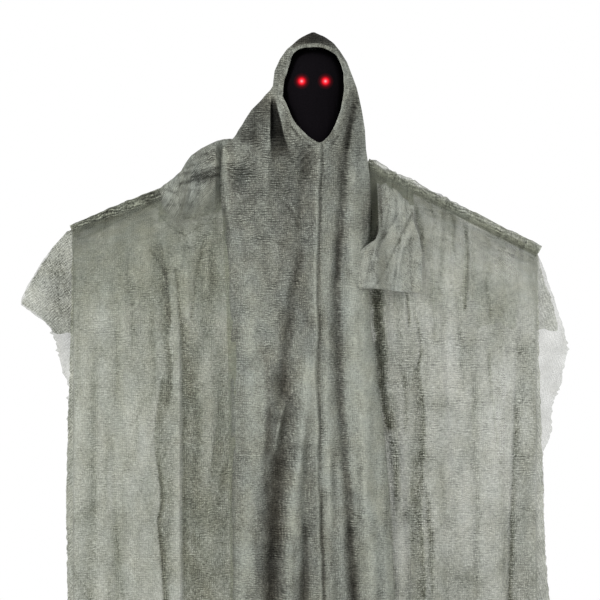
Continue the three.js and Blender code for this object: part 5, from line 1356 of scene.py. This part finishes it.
def wing_grid(side, layer, seed):
    """Points, cloth coordinates and stored values of a layer of the cloth over one arm."""
    arm, cut = arms[side], layers[layer]
    way, droop, reach = arm["way"], arm["droop"], arm["reach"]
    face = 1 if layer == "back" else -1
    tip_x, tip_z = arm_line(side, reach)
    u = np.linspace(0, 1, cut["columns"])[None, :]
    v = np.linspace(0, 1, cut["rows"])[:, None]
    over = np.clip(v / RIDGE_SHARE, 0, 1)
    down = np.clip((v - RIDGE_SHARE) / (1 - RIDGE_SHARE), 0, 1) ** ROWS_DRAWN_UP
    s = reach + TIP_PROUD - (reach - RIDGE_START) * u
    axis_x, axis_z = arm_line(side, s)
    turn = cut["start"] + (math.pi / 2 - cut["start"]) * over
    tube = ridge_height(side, s, seed) - cut["under"]
    foot = hem_height(axis_x + TEARS_APART * way, seed)
    if layer == "cape":
        foot = CAPE_HEM + foot - HEM_Z
    z = np.where(down > 0, axis_z + (foot - axis_z) * down, axis_z + math.cos(droop) * tube * np.cos(turn))
    fall = ease(axis_z - z, 0, REACHES_GOWN)
    start_x = arm_line(side, RIDGE_START)[0]
    outer = tip_x + way * outer_edge(side, layer, tip_z - z, seed)
    inner = start_x + (way * (np.abs(arm["inner"](z)) - TUCK) - start_x) * fall
    ridge_x = axis_x + way * math.sin(droop) * tube * np.cos(turn)
    x = np.where(down > 0, outer + (inner - outer) * u, ridge_x)

    folds, gather_and_shade = relief(wing_folds[side, layer], wing_strokes.get((side, layer), []), x, z)
    hang = ease(axis_z - z, 0.0, HANGS_FREE)
    least = cut["least"] * hang
    hollow = np.maximum((cut["stand"] - folds * cut["folds"]) * hang, least)
    sway = SWAY * ease(u, 0.2, 1) * fall * (layer != "cape")
    stand = tube + sway + np.maximum(hollow + crumpled(x, z, seed, cut["crumpling"]) * hang, least)
    y = face * np.where(down > 0, stand, tube * np.sin(turn))

    run = np.where(down > 0, axis_z - z, -0.02 * (1 - over))
    aligned = 0.75 * np.exp(-np.maximum(run, 0) / 0.05)
    cloth = stacked(x + folds * 0.5, -z * (1 - aligned) + run * aligned)
    ear = way * (x - tip_x) > -EAR_OVERLAP
    cloth = np.where(ear[..., None], turned(x - tip_x, z - tip_z, *arm["ear"]), cloth)
    return stacked(x, y, z), cloth, wing_values(side, layer, x, z, s, run, gather_and_shade, seed)


wings = {}
for side, front_gauze in (("left", left_gauze), ("right", right_gauze)):
    layer_gauze = {"front": front_gauze, "cape": cape_gauze, "back": under_gauze}
    for number, layer in enumerate(layers):
        seed = 100 + 60 * (side == "right") + 20 * number
        wings[side, layer] = sheet_object(
            f"wing_{layer}_{side}_cloth", *wing_grid(side, layer, seed), layer_gauze[layer])
    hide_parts(f"wing_front_{side}")
    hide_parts(f"wing_back_{side}")
print("arms' cloth", {key: round(mesh_area(wing), 3) for key, wing in wings.items()})

# %% [markdown]
# A heap of spare cloth lies on the left shoulder. It is a saddle over the arm, high beside the hood and
# running out along the ridge, with a rounded top, a dark double crease under it whose darkness is painted
# shade, and folds that fan down.
# Its foot and its right side go over into the cloth round it.

# %% Shoulder heap
HEAP_OUTLINE = [
    (158, 190), (165, 184), (172, 179), (181, 171), (186, 162.5), (191, 155.5), (198, 150.5), (205, 146.5),
    (211, 143.5), (218, 140.5), (225, 139), (231, 138.6), (234, 139),
]
HEAP_FOOT = [
    (158, 200), (164, 224), (169, 240), (176, 252), (188, 254), (201, 248), (214, 242), (226, 238),
    (243, 234),
]
HEAP_THINS = 215  # from this column on it runs in flat under the hood's drape
HEAP_CLEAR = 0.0165  # the least that it stands off the arm's axis, over the cloth there
HEAP_CLEAR_BELOW = 0.0095  # and how much more below the arm
heap_folds = [
    (4, 3, 3, 0.25, [(181, 190), (184, 205), (181, 225), (178, 244)]),
    (4, 1.6, 3, 0.3, [(199, 190), (192, 205), (184, 222), (177, 244)]),
    (-4, 4, 4, -0.2, [(206, 190), (203, 205), (198, 220), (194, 240)]),
    (4, 4, 1.5, 0.3, [(219, 150), (219.5, 170), (220, 200), (221, 240)]),
    (4, 3, 3, 0.25, [(214, 196), (212, 214), (210, 236)]),
]
heap_strokes = [
    (4, 1.4, 1.1, [(180, 184), (190, 181.5), (204, 178.5), (220, 175)]),
    (4, 1.2, 1.2, [(192, 177.5), (203, 174.5), (213, 170.5), (220, 168)]),
    (3, 3.5, 0.7, [(200, 180), (209, 177), (217, 174)]),
    (2, 1.1, 0.5, [(184, 173), (194, 172.5), (204, 170)]),
    (2, 1.1, 0.5, [(196, 185), (206, 184), (217, 181)]),
    (2, 1.3, 0.4, [(166, 190), (176, 193), (190, 190)]),
    (2, 1.2, 0.4, [(192, 160), (203, 155), (214, 150)]),
    (2, 1.2, 0.35, [(188, 168), (200, 163), (214, 160)]),
    (-2, 1.6, -0.3, [(186, 188), (200, 188), (214, 184)]),
    (2, 1.3, 0.4, [(168, 206), (184, 204), (200, 206)]),
    (2, 1.3, 0.4, [(172, 222), (188, 218), (204, 222)]),
]
# Painted shade on the heap, and painted light where negative, as beside the drape's edge
heap_shades = [
    (206, 176, 14, 6, 0.4), (203, 152, 22, 12, 0.3), (212, 202, 10, 14, -0.2), (217, 172, 4, 26, -0.6),
    (190, 211, 26, 22, -0.6), (212, 158, 10, 10, 0.3), (202, 160, 10, 4, -0.2),
]


def make_heap():
    """The heap of cloth on the left shoulder."""
    rows, columns = 150, 110
    u = np.linspace(0, 1, columns)[None, :]
    column = HEAP_OUTLINE[0][0] + (HEAP_OUTLINE[-1][0] - HEAP_OUTLINE[0][0]) * u
    x = photo_x(column) + np.zeros((rows, 1))
    top = photo_z(along(HEAP_OUTLINE, column))
    foot = photo_z(along(HEAP_FOOT, column))
    arm_z = arm_height("left", x)
    rise = np.maximum(top - arm_z - 0.015, 0)
    v = np.linspace(-1, 1, rows)[:, None]
    turn = v * math.pi / 2
    half = 0.0145 + rise * 0.55
    skirt = np.clip((np.abs(v) - 0.5) / 0.5, 0, 1)
    shoulder_z = arm_z + (top - arm_z) * np.abs(np.cos(turn)) ** 0.75
    low = np.where(v > 0, foot, arm_z - 0.05 - 0.4 * rise)
    z = shoulder_z + (low - arm_z) * skirt ** 1.3
    folds, gather_and_shade = relief(heap_folds, heap_strokes, x, z)
    crumple = 0.003 * (noise(x / 0.012, z / 0.02, 71) - 0.5)
    crumple = crumple + 0.003 * (creases(x / 0.02, z / 0.012, 72) - 0.3)
    settle = ease(np.abs(v), 0.0, 0.25)
    raised = settle * ease(rise, 0.0, 0.012)
    aside = np.abs(np.sin(turn))
    out_by = half * aside ** 0.8 + 0.012 * skirt - folds * settle + crumple * raised
    thin = ease(column, HEAP_THINS, HEAP_THINS + 8)
    out_by = out_by * (1 - thin) + thin * 0.012 * aside ** 0.8
    clear = HEAP_CLEAR + HEAP_CLEAR_BELOW * ease(arm_z - z, 0, 0.05)
    out_by = np.maximum(out_by, clear * aside * (1 - thin))
    y = -np.sign(v) * out_by
    points = stacked(x, y, z + 0.0012 * (noise(x / 0.008, v * 3, 73) - 0.5))
    crossed = creases(x / 0.014 + z / 0.05, z / 0.012 - x / 0.03, 74) - 0.35
    # The gather adds painted shade along fine creases, and the shaded areas' painted shade and light
    gather_and_shade = gather_and_shade + soft_shades(heap_shades, x, z) + 0.3 + 0.5 * crossed
    fade = (1 - ease(v, 0.6, 0.98)) * ease(x - x.min(), 0, 0.012)
    fade = np.maximum(fade, np.where(v < 0, 1.0, 0.0))
    obj = sheet_object("shoulder_heap", points, run_lengths(points), (gather_and_shade, 0.75, fade), heap_gauze)
    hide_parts("shoulder_bundle_left")
    return obj


heap = make_heap()

# %% [markdown]
# On the right shoulder a doubled flap of cloth comes over from behind, lies on the arm and hangs in
# front. It is lighter than the rest, with a pressed diagonal fold and fine creases down it, which its
# gather darkens with painted shade and, along their ridges, lights with painted light.

# %% Shoulder flap
FLAP_LEFT = [
    (371, 174), (377, 180), (378.5, 219), (378.5, 232), (375, 240), (367, 245), (361, 250), (359, 263),
    (358.3, 289),
]
FLAP_RIGHT = [
    (401, 184), (409, 189), (413.5, 194), (414, 210), (413.5, 222), (419, 236), (422, 254), (422, 292),
]
FLAP_TOP = [(371, 175.5), (376, 176), (381, 174), (386, 172.6), (390, 175), (401, 184), (413.5, 192)]
FLAP_FOOT = [(358.3, 289), (373, 288.7), (404, 292), (422, 292.7)]
FLAP_OVER = 0.3  # the share of its rows that lies over the arm, from behind
FLAP_CLEAR = 0.0175  # the least that it stands off the arm's axis
flap_strokes = [
    (4, 1.4, 0.35, [(413, 213), (404, 232), (395, 250), (385, 270), (375, 288)]),
    (-4, 2.4, -0.35, [(415, 222), (407, 240), (399, 258), (388, 284)]),
    (3, 2, 0.4, [(387, 177), (391, 190), (389, 215), (384, 236)]),
    (-3, 2.2, -0.35, [(396, 186), (400, 200), (400, 218)]),
    (2.5, 1.2, 0.3, [(400, 240), (397, 262), (394, 290)]),
    (-3, 1.4, -0.45, [(403, 235), (400, 262), (396, 290)]),
    (2.5, 1.3, 0.25, [(411, 238), (411, 262), (412, 292)]),
    (2.5, 1.3, 0.3, [(374, 246), (370, 262), (366, 288)]),
    (3, 1.8, 0.35, [(384, 232), (378, 250), (371, 272)]),
    (3, 1.6, 0.4, [(379, 186), (381, 205), (382, 226)]),
    (-3, 1.3, -0.5, [(360, 286), (374, 285.5), (390, 287.5)]),
    (2, 1.2, 0.35, [(390, 181), (400, 192), (408, 200)]),
    (2, 1.1, 0.3, [(382, 240), (390, 228), (398, 214)]),
]
# Painted shade on the flap, and painted light low on its left where it is negative
flap_shades = [(380, 205, 3, 28, 0.5), (386, 176, 12, 4, 0.5), (386, 245, 10, 34, -0.35)]


def make_flap():
    """The flap of cloth over the right arm."""
    rows, columns = 140, 90
    u = np.linspace(0, 1, columns)[None, :]
    v = np.linspace(0, 1, rows)[:, None]
    hang = np.clip((v - FLAP_OVER) / (1 - FLAP_OVER), 0, 1)
    top_column = FLAP_TOP[0][0] + (FLAP_TOP[-1][0] - FLAP_TOP[0][0]) * u
    foot_column = FLAP_FOOT[0][0] + (FLAP_FOOT[-1][0] - FLAP_FOOT[0][0]) * u
    top_z = photo_z(along(FLAP_TOP, top_column))
    foot_z = photo_z(along(FLAP_FOOT, foot_column)) + 0.0015 * (noise(foot_column / 3, 0.2, 81) - 0.5)
    z = top_z + (foot_z - top_z) * hang
    left = photo_edge(FLAP_LEFT, 0.003)(z)
    right = photo_edge(FLAP_RIGHT, 0.003)(z)
    x = left + (right - left) * u
    folds, gather_and_shade = stroke_relief(flap_strokes, x, z)
    arm_z = arm_height("right", x)
    back = 1 - np.clip(v / FLAP_OVER, 0, 1)
    z = np.where(v < FLAP_OVER, top_z - (top_z - arm_z + 0.012) * back ** 1.3, z)
    bulge = FLAP_CLEAR + np.maximum(top_z - arm_z - 0.02, 0) * 0.45
    rounded_top = np.sin(np.minimum(hang * 5, 1) * math.pi / 2)
    front_y = -(bulge * rounded_top + 0.014 * hang + 0.016 * ease(hang, 0.0, 0.3))
    near_gown = ease(photo_x(388) - x, 0, 0.03) * 0.036 * np.sqrt(hang)
    crumple = 0.004 * (noise(x / 0.013, z / 0.02, 82) - 0.5)
    crumple = crumple + 0.0035 * (creases(x / 0.02, z / 0.03, 83) - 0.33)
    y = np.where(v < FLAP_OVER, bulge * np.sin(back * math.pi / 2),
                 front_y - near_gown + (folds - crumple) * ease(hang, 0.02, 0.15))
    over_arm = (v >= FLAP_OVER) & (arm_z - z > -0.014)
    y = np.where(over_arm, np.minimum(y, -FLAP_CLEAR * ease(hang, 0.0, 0.12)), y)
    points = stacked(x, y, z)
    # Painted shade of the creases and shaded areas, a little darker left of a slanting line
    lower = ease(x - photo_x(376) - (z - photo_z(288)) * 0.5, -0.004, 0.004) * (hang > 0.35)
    gather_and_shade = gather_and_shade + 0.35 * (creases(x / 0.02, z / 0.03, 84) - 0.33) - 0.05 + 0.05 * (1 - lower)
    gather_and_shade = gather_and_shade + soft_shades(flap_shades, x, z)
    obj = sheet_object("shoulder_flap", points, run_lengths(points), (gather_and_shade, 0.1, 1.0), flap_gauze)
    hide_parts("shoulder_flap_right")
    return obj


flap = make_flap()
print("heap and flap", round(mesh_area(heap), 4), round(mesh_area(flap), 4))

# %% [markdown]
# The real gauze crumples towards the body when an arm is folded down. Here each side's cloth, over the
# arms, in the heap and in the flap, is given a mesh of its own.

# %% Each side's cloth gets a mesh of its own
side_cloth = [(side, wing) for (side, _), wing in wings.items()] + [("left", heap), ("right", flap)]
for side, piece in side_cloth:
    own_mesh(piece)
